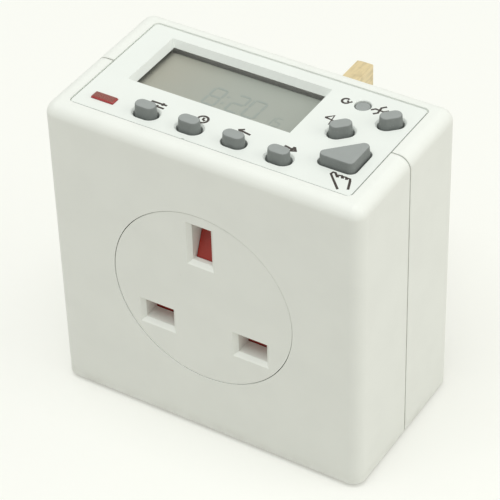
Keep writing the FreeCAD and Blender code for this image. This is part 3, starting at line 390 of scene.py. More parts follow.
def moulded(name, base, grain, roughness, soiling=0.0):
    """Injection-moulded plastic with a fine spark-eroded texture, faint mottling and, if asked, darker
    patches towards the bottom and along the parting line.
    """
    paint = Paint(name)
    texture = paint.noise(grain, 4.0, 0.6)
    mottle = paint.noise(9 * MM)
    specks = paint.noise(0.9 * MM, 1.0).ramp(0.76, 0.84)
    tone = paint.mix(mottle.ramp(0.35, 0.7) * 0.45, base, shade(base, 0.955))
    tone = paint.mix(specks * 0.2, tone, shade(base, 0.8))
    if soiling > 0:
        # darker in patches towards the bottom and along the parting line
        low = 1.0 - paint.axis("Z").ramp(0.2 * MM, 3.2 * MM)
        seam = 1.0 - paint.maths("ABSOLUTE", paint.axis("Y")).ramp(0.15 * MM, 0.75 * MM)
        patches = paint.noise(3.5 * MM, 4.0).ramp(0.3, 0.75)
        tone = paint.mix((low * 0.55 + seam * 0.5) * patches * soiling, tone, LOW_SEAM_TONE)
    rough = roughness + (texture - 0.5) * 0.12 + (mottle - 0.5) * 0.08
    return paint.textured(tone, rough, texture, 0.012, Specular_IOR_Level=0.45)


def rubber(name, base, rubbed):
    """Silicone rubber: matt, slightly dusty, with tops painted paler as painted light from above."""
    paint = Paint(name)
    texture = paint.noise(0.22 * MM, 4.0, 0.65)
    cloud = paint.noise(2.6 * MM)
    dust = paint.noise(0.4 * MM, 2.0).ramp(0.6, 0.85)
    tone = paint.mix(cloud.ramp(0.3, 0.7) * 0.5, base, shade(base, 0.86))
    # painted light: faces that look up are painted paler, as lit from above
    tone = paint.mix(paint.upward() * (0.7 + 0.3 * cloud), tone, rubbed)
    tone = paint.mix(dust * 0.2, tone, shade(rubbed, 1.4))
    return paint.textured(tone, 0.62 + (texture - 0.5) * 0.2, texture, 0.012, Specular_IOR_Level=0.35)


def machined(name, base, roughness, along, streak):
    """Drawn or milled metal with streaks of a width in millimetres along one axis, and handling marks."""
    paint = Paint(name)
    drawn = paint.stretched(tuple(0.12 if axis == along else 1.0 for axis in "XYZ"))
    lines = paint.noise(streak * MM, 3.0, 0.6, drawn)
    bands = paint.noise(0.9 * MM, 3.0, 0.6, drawn)
    cloud = paint.noise(2.2 * MM, 4.0)
    tone = paint.mix(bands.ramp(0.42, 0.66) * 0.6, base, shade(base, 0.76))
    tone = paint.mix(cloud.ramp(0.5, 0.72) * 0.4, tone, shade(base, 0.66))
    return paint.textured(tone, roughness + (lines - 0.5) * 0.25 + cloud * 0.08, lines, 0.006, Metallic=1.0)


def tinted(name, base, top, roughness, coat):
    """Coloured translucent plastic, such as a lamp's lens: deep on its sides, with faces that look up painted
    in another colour as painted light.
    """
    paint = Paint(name)
    cloud = paint.noise(1.6 * MM)
    texture = paint.noise(0.25 * MM)
    tone = paint.mix(cloud.ramp(0.3, 0.75) * 0.4, base, shade(base, 0.75))
    # painted light: faces that look up are painted in the top colour
    tone = paint.mix(paint.upward(), tone, top)
    return paint.textured(tone, roughness + (texture - 0.5) * 0.12, texture, 0.008, Coat_Weight=coat)


def clear(name):
    """Clear acrylic pane: nearly invisible, with a soft sheen and faint wiping marks."""
    paint = Paint(name)
    wipes = paint.noise(1.2 * MM, 3.0, 0.6, paint.stretched((0.25, 1.0, 1.0)))
    return paint.set(Base_Color=(0.8, 0.83, 0.8), Roughness=0.08 + wipes.ramp(0.55, 0.8) * 0.1,
                     Alpha=0.03 + wipes.ramp(0.6, 0.9) * 0.02, Specular_IOR_Level=0.5)


def crystal_glass(name, base, left, cover):
    """Reflective liquid crystal cell, grey-green, with painted shade under the window's rim and a painted
    warm sheen towards its left end.
    """
    paint = Paint(name)
    grain = paint.noise(0.12 * MM, 2.0, 0.7)
    cloud = paint.noise(7 * MM)
    low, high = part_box("display_window")
    across, along = paint.axis("X"), paint.axis("Y")
    # painted sheen: warmer towards the cell's left end
    tone = paint.mix(across.ramp(low.x, low.x + (high.x - low.x) * 0.6), left, base)
    tone = paint.mix(cloud.ramp(0.3, 0.7) * 0.2, tone, shade(base, 0.93))
    tone = paint.mix(grain * 0.12, tone, shade(base, 1.15))
    # painted shade: darker where the panel covers the pane, under the window's rim, where its shadow falls
    sides = paint.maths("MAXIMUM", (low.x + cover) - across, across - (high.x - cover))
    ends = paint.maths("MAXIMUM", (low.y + cover) - along, along - (high.y - cover))
    rim_shade = paint.maths("MAXIMUM", sides, ends).ramp(-0.8 * MM, 2.0 * MM)
    tone = paint.mix(rim_shade, tone, shade(base, 0.28))
    return paint.textured(tone, 0.34 + (grain - 0.5) * 0.1, grain, 0.003, Specular_IOR_Level=0.4)


def circuit_board(name, base):
    """Solder-masked board with copper tracks that show as paler lines under the mask."""
    paint = Paint(name)
    cells = paint.node("ShaderNodeTexVoronoi", {"distance": "MANHATTAN", "feature": "DISTANCE_TO_EDGE"},
                       {"Vector": paint.place, "Scale": 1.0 / TRACK_PITCH, "Randomness": 0.75})
    track = 1.0 - cells.ramp(0.09, 0.12)
    cloud = paint.noise(3 * MM)
    tone = paint.mix(track * 0.6, base, shade(base, 1.9))
    tone = paint.mix(cloud * 0.3, tone, shade(base, 0.6))
    return paint.textured(tone, 0.34 + cloud * 0.15, track, 0.02)


def printed_ink(name, base):
    """Screen-printed ink, a little patchy."""
    paint = Paint(name)
    patches = paint.noise(0.3 * MM, 3.0, 0.6)
    tone = paint.mix(patches.ramp(0.55, 0.85) * 0.5, base, tuple(c + 0.08 for c in base))
    return paint.textured(tone, 0.5 + (patches - 0.5) * 0.2, patches, 0.004)


def finish(slot):
    """The procedural material of a slot of the record or of an ink, made when it is first asked for."""
    made = bpy.data.materials.get(FINISH + slot)
    if made:
        return made
    mould, keys, ink, display, metal, _ = (getattr(bpy.context.scene, name) for name in SETTINGS)
    grain = mould.grain
    recipes = {
        "housing_white": (moulded, mould.white, grain, 0.46, mould.soiling),
        "panel_white": (moulded, mould.panel_white, grain, 0.42),
        "carrier_white": (moulded, (0.66, 0.66, 0.62), grain, 0.5),
        "retainer_grey": (moulded, (0.30, 0.31, 0.31), grain, 0.5),
        "holder_white": (moulded, (0.70, 0.70, 0.66), grain, 0.5),
        "sleeve_black": (moulded, (0.02, 0.02, 0.022), grain, 0.45),
        "component_black": (moulded, (0.02, 0.02, 0.021), 0.2 * MM, 0.42),
        "capacitor_black": (moulded, (0.025, 0.026, 0.05), 0.3 * MM, 0.3),
        "relay_blue": (moulded, (0.03, 0.10, 0.32), 0.3 * MM, 0.35),
        "capacitor_yellow": (moulded, (0.70, 0.50, 0.06), 0.4 * MM, 0.32),
        "varistor_blue": (moulded, (0.05, 0.16, 0.36), 0.3 * MM, 0.3),
        "ribbon_grey": (moulded, (0.36, 0.36, 0.37), 0.4 * MM, 0.5),
        "zebra_grey": (moulded, (0.20, 0.17, 0.17), 0.15 * MM, 0.6),
        "pill_black": (moulded, (0.02, 0.02, 0.02), 0.2 * MM, 0.7),
        "key_rubber": (rubber, keys.grey, keys.rubbed),
        # painted light: the second colour of each tinted finish is painted on faces that look up
        "shutter_red": (tinted, (0.34, 0.022, 0.012), (0.34, 0.03, 0.02), 0.45, 0.0),
        "lens_red": (tinted, (0.38, 0.025, 0.025), (0.235, 0.05, 0.035), 0.28, 0.2),
        "led_red": (tinted, (0.5, 0.05, 0.04), (0.6, 0.1, 0.08), 0.2, 0.5),
        "window_clear": (clear,),
        "display_glass": (crystal_glass, display.glass, display.glass_left_sheen, display.cover),
        "pin_brass": (machined, metal.brass, 0.3, "Y", 0.12),
        "contact_brass": (machined, (0.72, 0.52, 0.26), 0.34, "Z", 0.2),
        "screw_steel": (machined, metal.steel, 0.32, "Y", 0.2),
        "spring_steel": (machined, (0.5, 0.5, 0.5), 0.3, "Z", 0.2),
        "can_steel": (machined, (0.62, 0.62, 0.6), 0.28, "X", 0.25),
        "board_green": (circuit_board, (0.03, 0.16, 0.06)),
        "panel_ink": (printed_ink, ink.ink),
        "segment_ink": (printed_ink, display.segment_grey),
    }
    make, *values = recipes[slot]
    return make(FINISH + slot, *values)


def node_slot(node):
    """The record's material slot of a node."""
    return next(part["material_slot"] for part in frame["record"]["subparts"] if part["node"] == node)


# Meshes

def placed(name, data):
    """A new object in the scene, at the origin."""
    made = bpy.data.objects.new(name, data)
    bpy.context.scene.collection.objects.link(made)
    return made


def piece_from(bm, name):
    """An object that holds the mesh, which is then free of doubles and faces out."""
    bmesh.ops.remove_doubles(bm, verts=bm.verts, dist=MERGE)
    bmesh.ops.recalc_face_normals(bm, faces=bm.faces)
    mesh = bpy.data.meshes.new(name)
    bm.to_mesh(mesh)
    bm.free()
    return placed(name, mesh)


def joined_faces(node):
    """The node's own shape with its loose triangles merged into plane faces."""
    source = frame["nodes"][node].data
    bare = bpy.data.meshes.new(node + "_bare")
    bare.from_pydata([v.co for v in source.vertices], [], [p.vertices[:] for p in source.polygons])
    bm = bmesh.new()
    bm.from_mesh(bare)
    bpy.data.meshes.remove(bare)
    bmesh.ops.remove_doubles(bm, verts=bm.verts, dist=MERGE)
    bmesh.ops.dissolve_limit(bm, angle_limit=FLAT, verts=bm.verts, edges=bm.edges)
    return bm


def hard_edges(bm):
    """Each edge between faces that meet at a clear angle, with its middle."""
    return [(edge, (edge.verts[0].co + edge.verts[1].co) / 2) for edge in bm.edges
            if len(edge.link_faces) == 2 and edge.calc_face_angle() > HARD]


def rounded(bm, edges, width, segments=4):
    """Rounds the given edges, or chamfers them with a single segment."""
    bmesh.ops.bevel(bm, geom=edges, offset=width, offset_type="OFFSET", segments=segments, profile=0.5,
                    affect="EDGES", clamp_overlap=True)


def rounded_shell(bm, seam_width, rim_width):
    """Rounds a shell's outer edges along the parting line and round the panel's opening."""
    high = max(v.co.z for v in bm.verts)
    centre = Vector((0.0, 0.0, high / 2))
    seam = [edge for edge, middle in hard_edges(bm)
            if all(abs(v.co.y) < SEAM_REACH for v in edge.verts)
            and any(abs(face.normal.y) < UPRIGHT and face.normal.dot(middle - centre) > 0
                    for face in edge.link_faces)]
    rounded(bm, seam, seam_width)
    rim = [edge for edge, _ in hard_edges(bm) if all(v.co.z > high - LEVEL for v in edge.verts)]
    rounded(bm, rim, rim_width)


def soften(piece, width, segments):
    """Rounds the hard edges of a piece and shades its broad faces flat."""
    for polygon in piece.data.polygons:
        polygon.use_smooth = True
    bevel = piece.modifiers.new("Soft edges", "BEVEL")
    bevel.width = width
    bevel.segments = segments
    bevel.limit_method = "ANGLE"
    bevel.angle_limit = HARD
    bevel.use_clamp_overlap = True
    shading = piece.modifiers.new("Even shading", "WEIGHTED_NORMAL")
    shading.keep_sharp = True


def settle(piece, body, slot, *nodes):
    """Gives a piece its slot's finish and its body, and hides the nodes that it stands for."""
    piece.data.materials.clear()
    piece.data.materials.append(finish(slot))
    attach(piece, body)
    if nodes:
        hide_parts(*nodes)


def refined(node, name, width, segments=3, body=BODY, bm=None):
    """Puts a piece in a node's place, with the mesh given or the node's own, and softened edges."""
    piece = piece_from(joined_faces(node) if bm is None else bm, name)
    soften(piece, width, segments)
    settle(piece, body, node_slot(node), node)


def ring(skeleton, radius, z):
    """Points round a convex skeleton at a distance of radius, all facing their own direction."""
    points = []
    for i in range(RING_POINTS):
        turn = 2 * math.pi * (i + 0.5) / RING_POINTS
        facing = Vector((math.cos(turn), math.sin(turn)))
        corner = max(skeleton, key=lambda point: facing.dot(Vector(point)))
        points.append((corner[0] + radius * facing.x, corner[1] + radius * facing.y, z))
    return points


def skin(bm, rings):
    """A closed skin through rings of equally many points, from the lowest to the highest."""
    levels = [[bm.verts.new(point) for point in points] for points in rings]
    for low, high in zip(levels, levels[1:]):
        for i in range(len(low)):
            j = (i + 1) % len(low)
            bm.faces.new((low[i], low[j], high[j], high[i]))
    bm.faces.new(levels[0][::-1])
    bm.faces.new(levels[-1])


def block(bm, low, high):
    """A closed box between two corners."""
    made = bmesh.ops.create_cube(bm, size=1.0)["verts"]
    middle = (Vector(low) + Vector(high)) / 2
    size = Vector(high) - Vector(low)
    bmesh.ops.transform(bm, verts=made, matrix=Matrix.LocRotScale(middle, None, size))


# Geometry Nodes

class Weave(Web):
    """A Geometry Nodes tree with named inputs that ends in Realize Instances and Set Material."""

    def __init__(self, name, **labels):
        super().__init__(bpy.data.node_groups.new(name, "GeometryNodeTree"))
        self.add_socket("Geometry", "Geometry")
        self.ids = {label: self.add_socket(label, kind)
                    for kind, names in {**labels, "Material": ["Material"]}.items() for label in names}
        self.add_socket("Geometry", "Geometry", "OUTPUT")
        outputs = self.tree.nodes.new("NodeGroupInput").outputs
        self.source = Signal(self, outputs["Geometry"])
        *self.sizes, self.material = [Signal(self, outputs[label]) for label in self.ids]

    def add_socket(self, label, kind, way="INPUT"):
        """The identifier of a new input or output of the tree."""
        return self.tree.interface.new_socket(label, in_out=way, socket_type="NodeSocket" + kind).identifier

    def vector(self, x, y, z):
        """A vector from three values."""
        return self.node("ShaderNodeCombineXYZ", {}, {0: x, 1: y, 2: z})

    def moved(self, geometry, lift=0.0, scale=(1.0, 1.0, 1.0), turn=(0.0, 0.0, 0.0)):
        """Geometry scaled, turned and moved up."""
        return self.node("GeometryNodeTransform", {}, {
            "Geometry": geometry, "Translation": self.vector(0.0, 0.0, lift), "Rotation": turn,
            "Scale": scale})

    def cylinder(self, sides, radius, depth):
        """An upright cylinder round the origin."""
        return self.node("GeometryNodeMeshCylinder", {}, {
            "Vertices": sides, "Radius": radius, "Depth": depth})

    def spiral(self, resolution, turns, radius, height):
        """A coil that climbs from the origin's level."""
        return self.node("GeometryNodeCurveSpiral", {}, {
            "Resolution": resolution, "Rotations": turns, "Start Radius": radius, "End Radius": radius,
            "Height": height})

    def tube(self, line, sides, radius):
        """A closed tube along a line."""
        profile = self.node("GeometryNodeCurvePrimitiveCircle", {}, {"Resolution": sides, "Radius": radius})
        return self.node("GeometryNodeCurveToMesh", {}, {
            "Curve": line, "Profile Curve": profile, "Fill Caps": True})

    def on_points(self, geometry):
        """A copy of the geometry on each of the carrier's points."""
        return self.node("GeometryNodeInstanceOnPoints", {}, {"Points": self.source, "Instance": geometry})

    def finish(self, geometry):
        """Ends the tree."""
        real = self.node("GeometryNodeRealizeInstances", {}, {"Geometry": geometry})
        painted = self.node("GeometryNodeSetMaterial", {}, {"Geometry": real, "Material": self.material})
        self.node("NodeGroupOutput", {}, {"Geometry": painted}, None)
        return self

    def grow(self, name, carrier, slot, values):
        """Runs the tree on a carrier object and returns the result as a plain mesh piece."""
        modifier = carrier.modifiers.new(name, "NODES")
        modifier.node_group = self.tree
        for label, value in {**values, "Material": finish(slot)}.items():
            modifier[self.ids[label]] = value
        graph = bpy.context.evaluated_depsgraph_get()
        mesh = bpy.data.meshes.new_from_object(carrier.evaluated_get(graph))
        carrier.modifiers.remove(modifier)
        bpy.data.objects.remove(carrier)
        mesh.name = name
        return placed(name, mesh)


def point_carrier(name, places):
    """An object whose mesh is only points, for a tree that puts something on each."""
    mesh = bpy.data.meshes.new(name)
    mesh.from_pydata([tuple(point) for point in places], [], [])
    return placed(name, mesh)


def stroke_carrier(name, strokes):
    """A curve object with one straight-edged spline for each stroke in the plane of the panel."""
    curve = bpy.data.curves.new(name, "CURVE")
    curve.dimensions = "3D"
    for points in strokes:
        spline = curve.splines.new("POLY")
        spline.points.add(len(points) - 1)
        for target, (x, y) in zip(spline.points, points):
            target.co = (x, y, 0.0, 1.0)
    return placed(name, curve)


def screw_tree():
    """Cross-recessed screws with the underside of the head on each point and the shank along -Z."""
    weave = Weave("Cross recessed screws", Float=[
        "Head Radius", "Head Height", "Shank Radius", "Shank Length", "Recess Width", "Recess Depth",
        "Pitch"], Vector=["Turn"])
    radius, height, shank_radius, shank_length, recess, depth, pitch, turn = weave.sizes
    large, small = (BOOLEAN_SCALE,) * 3, (1.0 / BOOLEAN_SCALE,) * 3
    head = weave.moved(weave.cylinder(40, radius, height), height / 2.0)
    dome_radius = radius * 1.25
    dome = weave.node("GeometryNodeMeshUVSphere", {}, {"Segments": 40, "Rings": 20, "Radius": dome_radius})
    # The dome stands a little over the head and is turned a little, so that no faces coincide
    dome = weave.moved(dome, height * 1.03 - dome_radius, turn=(0.0, 0.0, 0.03))
    solid = weave.node("GeometryNodeMeshBoolean", {"operation": "INTERSECT"}, {
        1: [weave.moved(part, scale=large) for part in (head, dome)]})
    arms = []
    reach = radius * 1.15
    # The arms are cut to unlike depths for the same reason
    for x, y, z in ((reach, recess, depth * 1.9), (recess, reach, depth * 2.0)):
        arm = weave.node("GeometryNodeMeshCube", {}, {"Size": weave.vector(x, y, z)})
        arms.append(weave.moved(weave.moved(arm, height), scale=large))
    cut = weave.node("GeometryNodeMeshBoolean", {"operation": "DIFFERENCE"}, {0: solid, 1: arms})
    crossed = weave.moved(cut, scale=small)
    coil = weave.spiral(20, shank_length / pitch, shank_radius, shank_length)
    thread = weave.tube(coil, 6, pitch * 0.22)
    thread = weave.moved(thread, shank_length * -1.0, (0.9, 0.9, 1.0))
    core = weave.moved(weave.cylinder(28, shank_radius * 0.86, shank_length), shank_length * -0.5)
    whole = weave.node("GeometryNodeJoinGeometry", {}, {0: [core, thread, crossed]})
    return weave.finish(weave.on_points(weave.moved(whole, turn=turn)))


def stroke_tree():
    """Flat printed lines along the carrier's strokes, raised a hair over the panel."""
    weave = Weave("Printed strokes", Float=["Stroke", "Relief", "Height"])
    stroke, relief, height = weave.sizes
    radius = stroke / 2.0
    lines = weave.tube(weave.source, 10, radius)
    return weave.finish(weave.moved(lines, height, weave.vector(1.0, 1.0, relief / radius)))


def spring_tree():
    """A compression spring that stands on each point."""
    weave = Weave("Compression spring", Int=["Coils"], Float=["Radius", "Height", "Wire"])
    coils, radius, height, wire = weave.sizes
    line = weave.spiral(24, coils, radius - wire / 2.0, height - wire)
    return weave.finish(weave.on_points(weave.moved(weave.tube(line, 8, wire / 2.0), wire / 2.0)))


# Pieces

class TIMER_OT_shells(Operator):
    """Makes the two housing shells and the round outlet insert"""

    bl_idname = "timer.shells"
    bl_label = "Shells and outlet insert"

    def execute(self, context):
        mould = context.scene.timer_moulding
        for node, name, rim in (("front_case", "front_shell", mould.seam_softness),
                                ("rear_case", "rear_shell", mould.rim_softness)):
            bm = joined_faces(node)
            rounded_shell(bm, mould.seam_softness, rim)
            refined(node, name, mould.softness, bm=bm)
        refined("outlet_insert", "outlet_face", mould.softness)
        return {"FINISHED"}


class TIMER_OT_panel(Operator):
    """Makes the control panel with its bevelled window, and the lamp's lens"""

    bl_idname = "timer.panel"
    bl_label = "Control panel and lens"

    def execute(self, context):
        mould = context.scene.timer_moulding
        bm = joined_faces("control_panel")
        low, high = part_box("control_panel")
        for vertex in bm.verts:
            if vertex.co.y < low.y + PANEL_RIM:
                vertex.co.y += mould.panel_play
            if vertex.co.x > high.x - PANEL_RIM:
                vertex.co.x -= mould.panel_play
        for node, shape in KEY_SHAPES.items():
            near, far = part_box(node)
            rim = [edge for edge, middle in hard_edges(bm)
                   if all(v.co.z > high.z - LEVEL for v in edge.verts)
                   and near.x < middle.x < far.x and near.y < middle.y < far.y]
            rounded(bm, rim, mould.reset_lip if shape == "round" else mould.hole_lip, 1)
        refined("control_panel", "panel_plate", mould.panel_softness, bm=bm)
        refined("led_lens", "lamp_lens", mould.softness)
        return {"FINISHED"}


class TIMER_OT_outlet(Operator):
    """Makes the shutter behind the outlet's slots and the spring under it"""

    bl_idname = "timer.outlet"
    bl_label = "Shutter and spring"

    def execute(self, context):
        metal = context.scene.timer_metal
        refined("shutter", "red_shutter", context.scene.timer_moulding.softness, body="shutter")
        low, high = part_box("shutter_spring")
        foot = Vector(((low.x + high.x) / 2, (low.y + high.y) / 2, low.z))
        values = {"Coils": metal.coils, "Radius": (high.x - low.x) / 2, "Height": high.z - low.z,
                  "Wire": metal.wire}
        carrier = point_carrier("spring_point", [foot])
        spring = spring_tree().grow("shutter_coil", carrier, "spring_steel", values)
        settle(spring, BODY, "spring_steel", "shutter_spring")
        slide = next(j for j in frame["joints"] if j["name"] == "shutter_slide")
        travel = max(abs(limit) for limit in slide["range_m"])
        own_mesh(spring)
        return {"FINISHED"}


KEY_SHAPES = {
    "set_key": "row", "time_key": "row", "left_key": "row", "right_key": "row",
    "countdown_key": "leaning", "random_key": "leaning", "manual_key": "corner", "reset_key": "round",
}


def key_skeleton(node, keys):
    """A key's skeleton and cap radius, from the box of its node."""
    low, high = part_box(node)
    if KEY_SHAPES[node] == "corner":
        rim = keys.corner_radius + keys.margin
        left, right = low.x + rim, high.x - rim
        front, back = low.y + rim, high.y - rim
        return [(left, front), (right, front), (right, back)], keys.corner_radius
    middle = (low + high) / 2
    half = (high.x - low.x) / 2 - keys.margin
    if KEY_SHAPES[node] == "round":
        return [(middle.x, middle.y)], half
    row_low, row_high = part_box("set_key")
    radius = (row_high.y - row_low.y) / 2 - keys.margin
    reach = half - radius
    rise = reach if KEY_SHAPES[node] == "leaning" else 0.0
    return [(middle.x - reach, middle.y - rise), (middle.x + reach, middle.y + rise)], radius


class TIMER_OT_keys(Operator):
    """Makes the eight rubber keys, each on its own body"""

    bl_idname = "timer.keys"
    bl_label = "Rubber keys"

    def execute(self, context):
        for node in KEY_SHAPES:
            self.make(node, context.scene.timer_keys)
        return {"FINISHED"}

    def make(self, node, keys):
        """One key: plunger, flange and a tapered cap with a soft round-over and a slight crown."""
        low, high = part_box(node)
        middle = (low + high) / 2
        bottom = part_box("control_panel")[1].z - keys.flange_depth
        half_x, half_y = keys.plunger_width / 2, keys.plunger_depth / 2
        bm = bmesh.new()
        skin(bm, self.cap_rings(node, bottom, high.z, keys))
        block(bm, (middle.x - half_x, middle.y - half_y, low.z),
              (middle.x + half_x, middle.y + half_y, bottom))
        refined(node, node + "_rubber", keys.edge, 2, node, bm)

    def cap_rings(self, node, bottom, top, keys):
        """Rings from the flange's foot to the crown."""
        skeleton, radius = key_skeleton(node, keys)
        foot = radius + keys.margin
        draft = keys.reset_draft
        if KEY_SHAPES[node] != "round":
            radius, draft = radius - keys.waist, keys.draft
        flange_top = bottom + keys.flange
        shoulder = top - keys.crown - keys.round_over
        face = min(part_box("control_panel")[1].z, (flange_top + shoulder) / 2)
        inner = radius - draft - keys.round_over
        profile = [(foot, bottom), (foot, flange_top), (radius, flange_top)]
        profile += [(radius - draft * part, face + (shoulder - face) * part) for part in (0.0, 0.5)]
        for i in range(ROUND_STEPS + 1):
            turn = math.pi / 2 * i / ROUND_STEPS
            inward = draft + keys.round_over * (1 - math.cos(turn))
            profile.append((radius - inward, shoulder + keys.round_over * math.sin(turn)))
        profile += [(inner * part, top - keys.crown * part ** 2) for part in (0.6, 0.25)]
        return [ring(skeleton, *point) for point in profile]


# Segments that each sign lights, and each segment's two ends in a square of 1 by 1
SIGNS = {"0": "abcdef", "1": "bc", "2": "abdeg", "3": "abcdg", "4": "bcfg", "5": "acdfg",
         "6": "acdefg", "7": "abc", "8": "abcdefg", "9": "abcdfg"}
ENDS = {"a": (0, 1, 1, 1), "b": (1, 1, 1, 0.5), "c": (1, 0.5, 1, 0), "d": (0, 0, 1, 0),
        "e": (0, 0.5, 0, 0), "f": (0, 1, 0, 0.5), "g": (0, 0.5, 1, 0.5)}


class TIMER_OT_display(Operator):
    """Makes the window's pane and the display's faint digits"""

    bl_idname = "timer.display"
    bl_label = "Display"

    def execute(self, context):
        display = context.scene.timer_display
        refined("display_window", "window_pane", display.pane_edge, 2)
        low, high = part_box("lcd_cell")
        start = Vector((low.x + display.left, low.y + display.front, high.z))
        step = Vector((display.small_step, 0.0, 0.0))
        bm = bmesh.new()
        self.write(bm, display, display.reading, start, 1.0)
        self.write(bm, display, display.seconds, start + step, display.small)
        digits = piece_from(bm, "display_digits")
        settle(digits, BODY, "segment_ink")
        return {"FINISHED"}

    def write(self, bm, display, signs, start, scale):
        """Seven-segment digits and colons from a starting corner."""
        width, height = display.digit_width, display.digit_height
        half_dot = display.segment / height / 2
        x = 0.0
        for sign in signs:
            if sign == ":":
                middle, step = x - display.spacing / 2 + display.segment, display.segment
                bars = [(middle, level - half_dot, middle, level + half_dot) for level in DOT_LEVELS]
            else:
                step = width
                bars = [(x + x0 * width, y0, x + x1 * width, y1)
                        for x0, y0, x1, y1 in (ENDS[name] for name in SIGNS[sign])]
            for x0, y0, x1, y1 in bars:
                ends = [Vector((across + display.lean * up * height, up * height)) * scale
                        for across, up in ((x0, y0), (x1, y1))]
                self.draw_bar(bm, start, *ends, display.segment * scale / 2)
            x += step + display.spacing

    def draw_bar(self, bm, start, first, last, half):
        """One segment between two ends, pointed unless it is a dot, and a hair thick."""
        run = last - first
        along = run.normalized()
        across = Vector((-along.y, along.x)) * half
        if run.length < half * 3:
            corners = [first - across, last - across, last + across, first + across]
        else:
            tip = along * half
            first, last = first + tip * TIP_INSET, last - tip * TIP_INSET
            corners = [first, first + tip - across, last - tip - across, last, last - tip + across,
                       first + tip + across]
        skin(bm, [[(start.x + c.x, start.y + c.y, start.z + level) for c in corners]
                  for level in SEGMENT_LEVELS])


def arc(radius, first, last, steps):
    """Points along part of a circle round the origin, in degrees."""
    spots = [math.radians(first + (last - first) * i / steps) for i in range(steps + 1)]
    return [(radius * math.cos(spot), radius * math.sin(spot)) for spot in spots]


def turned(strokes, x, y, degrees):
    """Strokes turned about the origin and moved to x, y."""
    spin = Matrix.Rotation(math.radians(degrees), 2)
    return [[(x + p.x, y + p.y) for p in (spin @ Vector(q) for q in stroke)] for stroke in strokes]


def pictograms():
    """Strokes of the printed pictograms, in millimetres on the panel."""
    sliders = [[(-1.8, 0.55), (1.8, 0.55)], [(-1.8, -0.6), (1.8, -0.6)],
               [(0.9, 1.0), (0.9, 0.1)], [(0.1, -0.1), (0.1, -1.05)]]
    clock = [arc(1.1, 0, 360, 20), [(0, 0.65), (0, 0), (0.6, -0.3)]]
    left = [[(1.5, 0), (-1.4, 0)], [(-0.5, 0.75), (-1.4, 0), (-0.5, -0.75)]]
    right = [[(-1.5, 0), (0.4, 0)], [(0.3, 0.85), (1.4, 0), (0.3, -0.85), (0.3, 0.85)],
             [(0.55, 0.4), (1.05, 0), (0.55, -0.4), (0.55, 0.4)]]
    glass = [[(-0.95, 1.2), (0.95, 1.2), (-0.95, -1.2), (0.95, -1.2), (-0.95, 1.2)]]
    shuffle = [[(-1.7, 0.7), (-0.7, 0.7), (0.5, -0.7), (1.6, -0.7)],
               [(-1.7, -0.7), (-0.7, -0.7), (0.5, 0.7), (1.6, 0.7)]]
    again = [arc(0.8, 60, 340, 14), [(0.25, 0.25), (0.78, -0.25), (1.25, 0.35)]]
    hand = [[(0.75, -2.15), (-2.75, 1.45), (-2.6, 2.1), (-2.1, 2.1), (-1.1, 1.05)],
            [(-1.1, 1.05), (-1.2, 1.75), (-0.6, 1.9), (-0.1, 1.2)],
            [(-0.1, 1.2), (-0.15, 1.8), (0.4, 1.85), (0.75, 1.2)],
            [(0.75, 1.2), (0.75, 1.75), (1.25, 1.75), (1.6, 1.1), (2.5, -1.3)]]
    places = ((sliders, -15.7, -8.5, 0), (clock, -5.3, -8.35, 0), (left, 4.0, -8.0, -10),
              (right, 14.5, -8.2, -12), (glass, 16.7, 3.8, 45), (shuffle, 23.4, 11.2, 45),
              (again, 16.0, 10.75, 0), (hand, 27.9, -12.8, 0))
    return [stroke for mark in places for stroke in turned(*mark)]


class TIMER_OT_print(Operator):
    """Prints the pictograms beside the keys"""

    bl_idname = "timer.panel_print"
    bl_label = "Panel print"

    def execute(self, context):
        ink = context.scene.timer_print
        strokes = [[(x * MM, y * MM) for x, y in stroke] for stroke in pictograms()]
        carrier = stroke_carrier("panel_strokes", strokes)
        values = {"Stroke": ink.stroke, "Relief": ink.relief, "Height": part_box("control_panel")[1].z}
        marks = stroke_tree().grow("panel_marks", carrier, "panel_ink", values)
        settle(marks, BODY, "panel_ink")
        return {"FINISHED"}


class TIMER_OT_pins(Operator):
    """Makes the three machined pins and their insulating sleeves"""

    bl_idname = "timer.pins"
    bl_label = "Pins and sleeves"

    def execute(self, context):
        metal = context.scene.timer_metal
        for name in ("live", "neutral", "earth"):
            refined(name + "_pin", name + "_brass_pin", metal.pin_softness)
        refined("pin_sleeves", "pin_insulation", metal.sleeve_softness, 2)
        return {"FINISHED"}


class TIMER_OT_screws(Operator):
    """Makes the case screws and the board screws with their cross recesses"""

    bl_idname = "timer.screws"
    bl_label = "Screws"

    def execute(self, context):
        metal, tree = context.scene.timer_metal, screw_tree()
        low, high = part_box("case_screws")
        head, seat = metal.case_head, high.y - metal.case_head_rise
        places = [(x, seat, z) for x in (low.x + head, high.x - head)
                  for z in (low.z + head, high.z - head)]
        self.drive(tree, metal, "case", places, (-math.pi / 2, 0.0, 0.0), high.y - low.y)
        low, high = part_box("board_screws")
        head, seat = metal.board_head, low.z + metal.board_head_rise
        places = [(low.x + head, high.y - head, seat), (high.x - head, low.y + head, seat)]
        self.drive(tree, metal, "board", places, (math.pi, 0.0, 0.0), high.z - low.z)
        return {"FINISHED"}

    def drive(self, tree, metal, kind, places, turn, whole):
        """One set of like screws on their places, with a recess in proportion to the head."""
        head, rise, shank, pitch = [getattr(metal, f"{kind}_{size}")
                                    for size in ("head", "head_rise", "shank", "pitch")]
        scale = head / metal.case_head
        values = {"Head Radius": head, "Head Height": rise, "Shank Radius": shank,
                  "Shank Length": whole - rise, "Recess Width": metal.recess * scale,
                  "Recess Depth": metal.recess_depth * scale, "Pitch": pitch, "Turn": turn}
        carrier = point_carrier(f"{kind}_screws_points", places)
        piece = tree.grow(f"{kind}_screw_set", carrier, "screw_steel", values)
        settle(piece, BODY, "screw_steel", f"{kind}_screws")


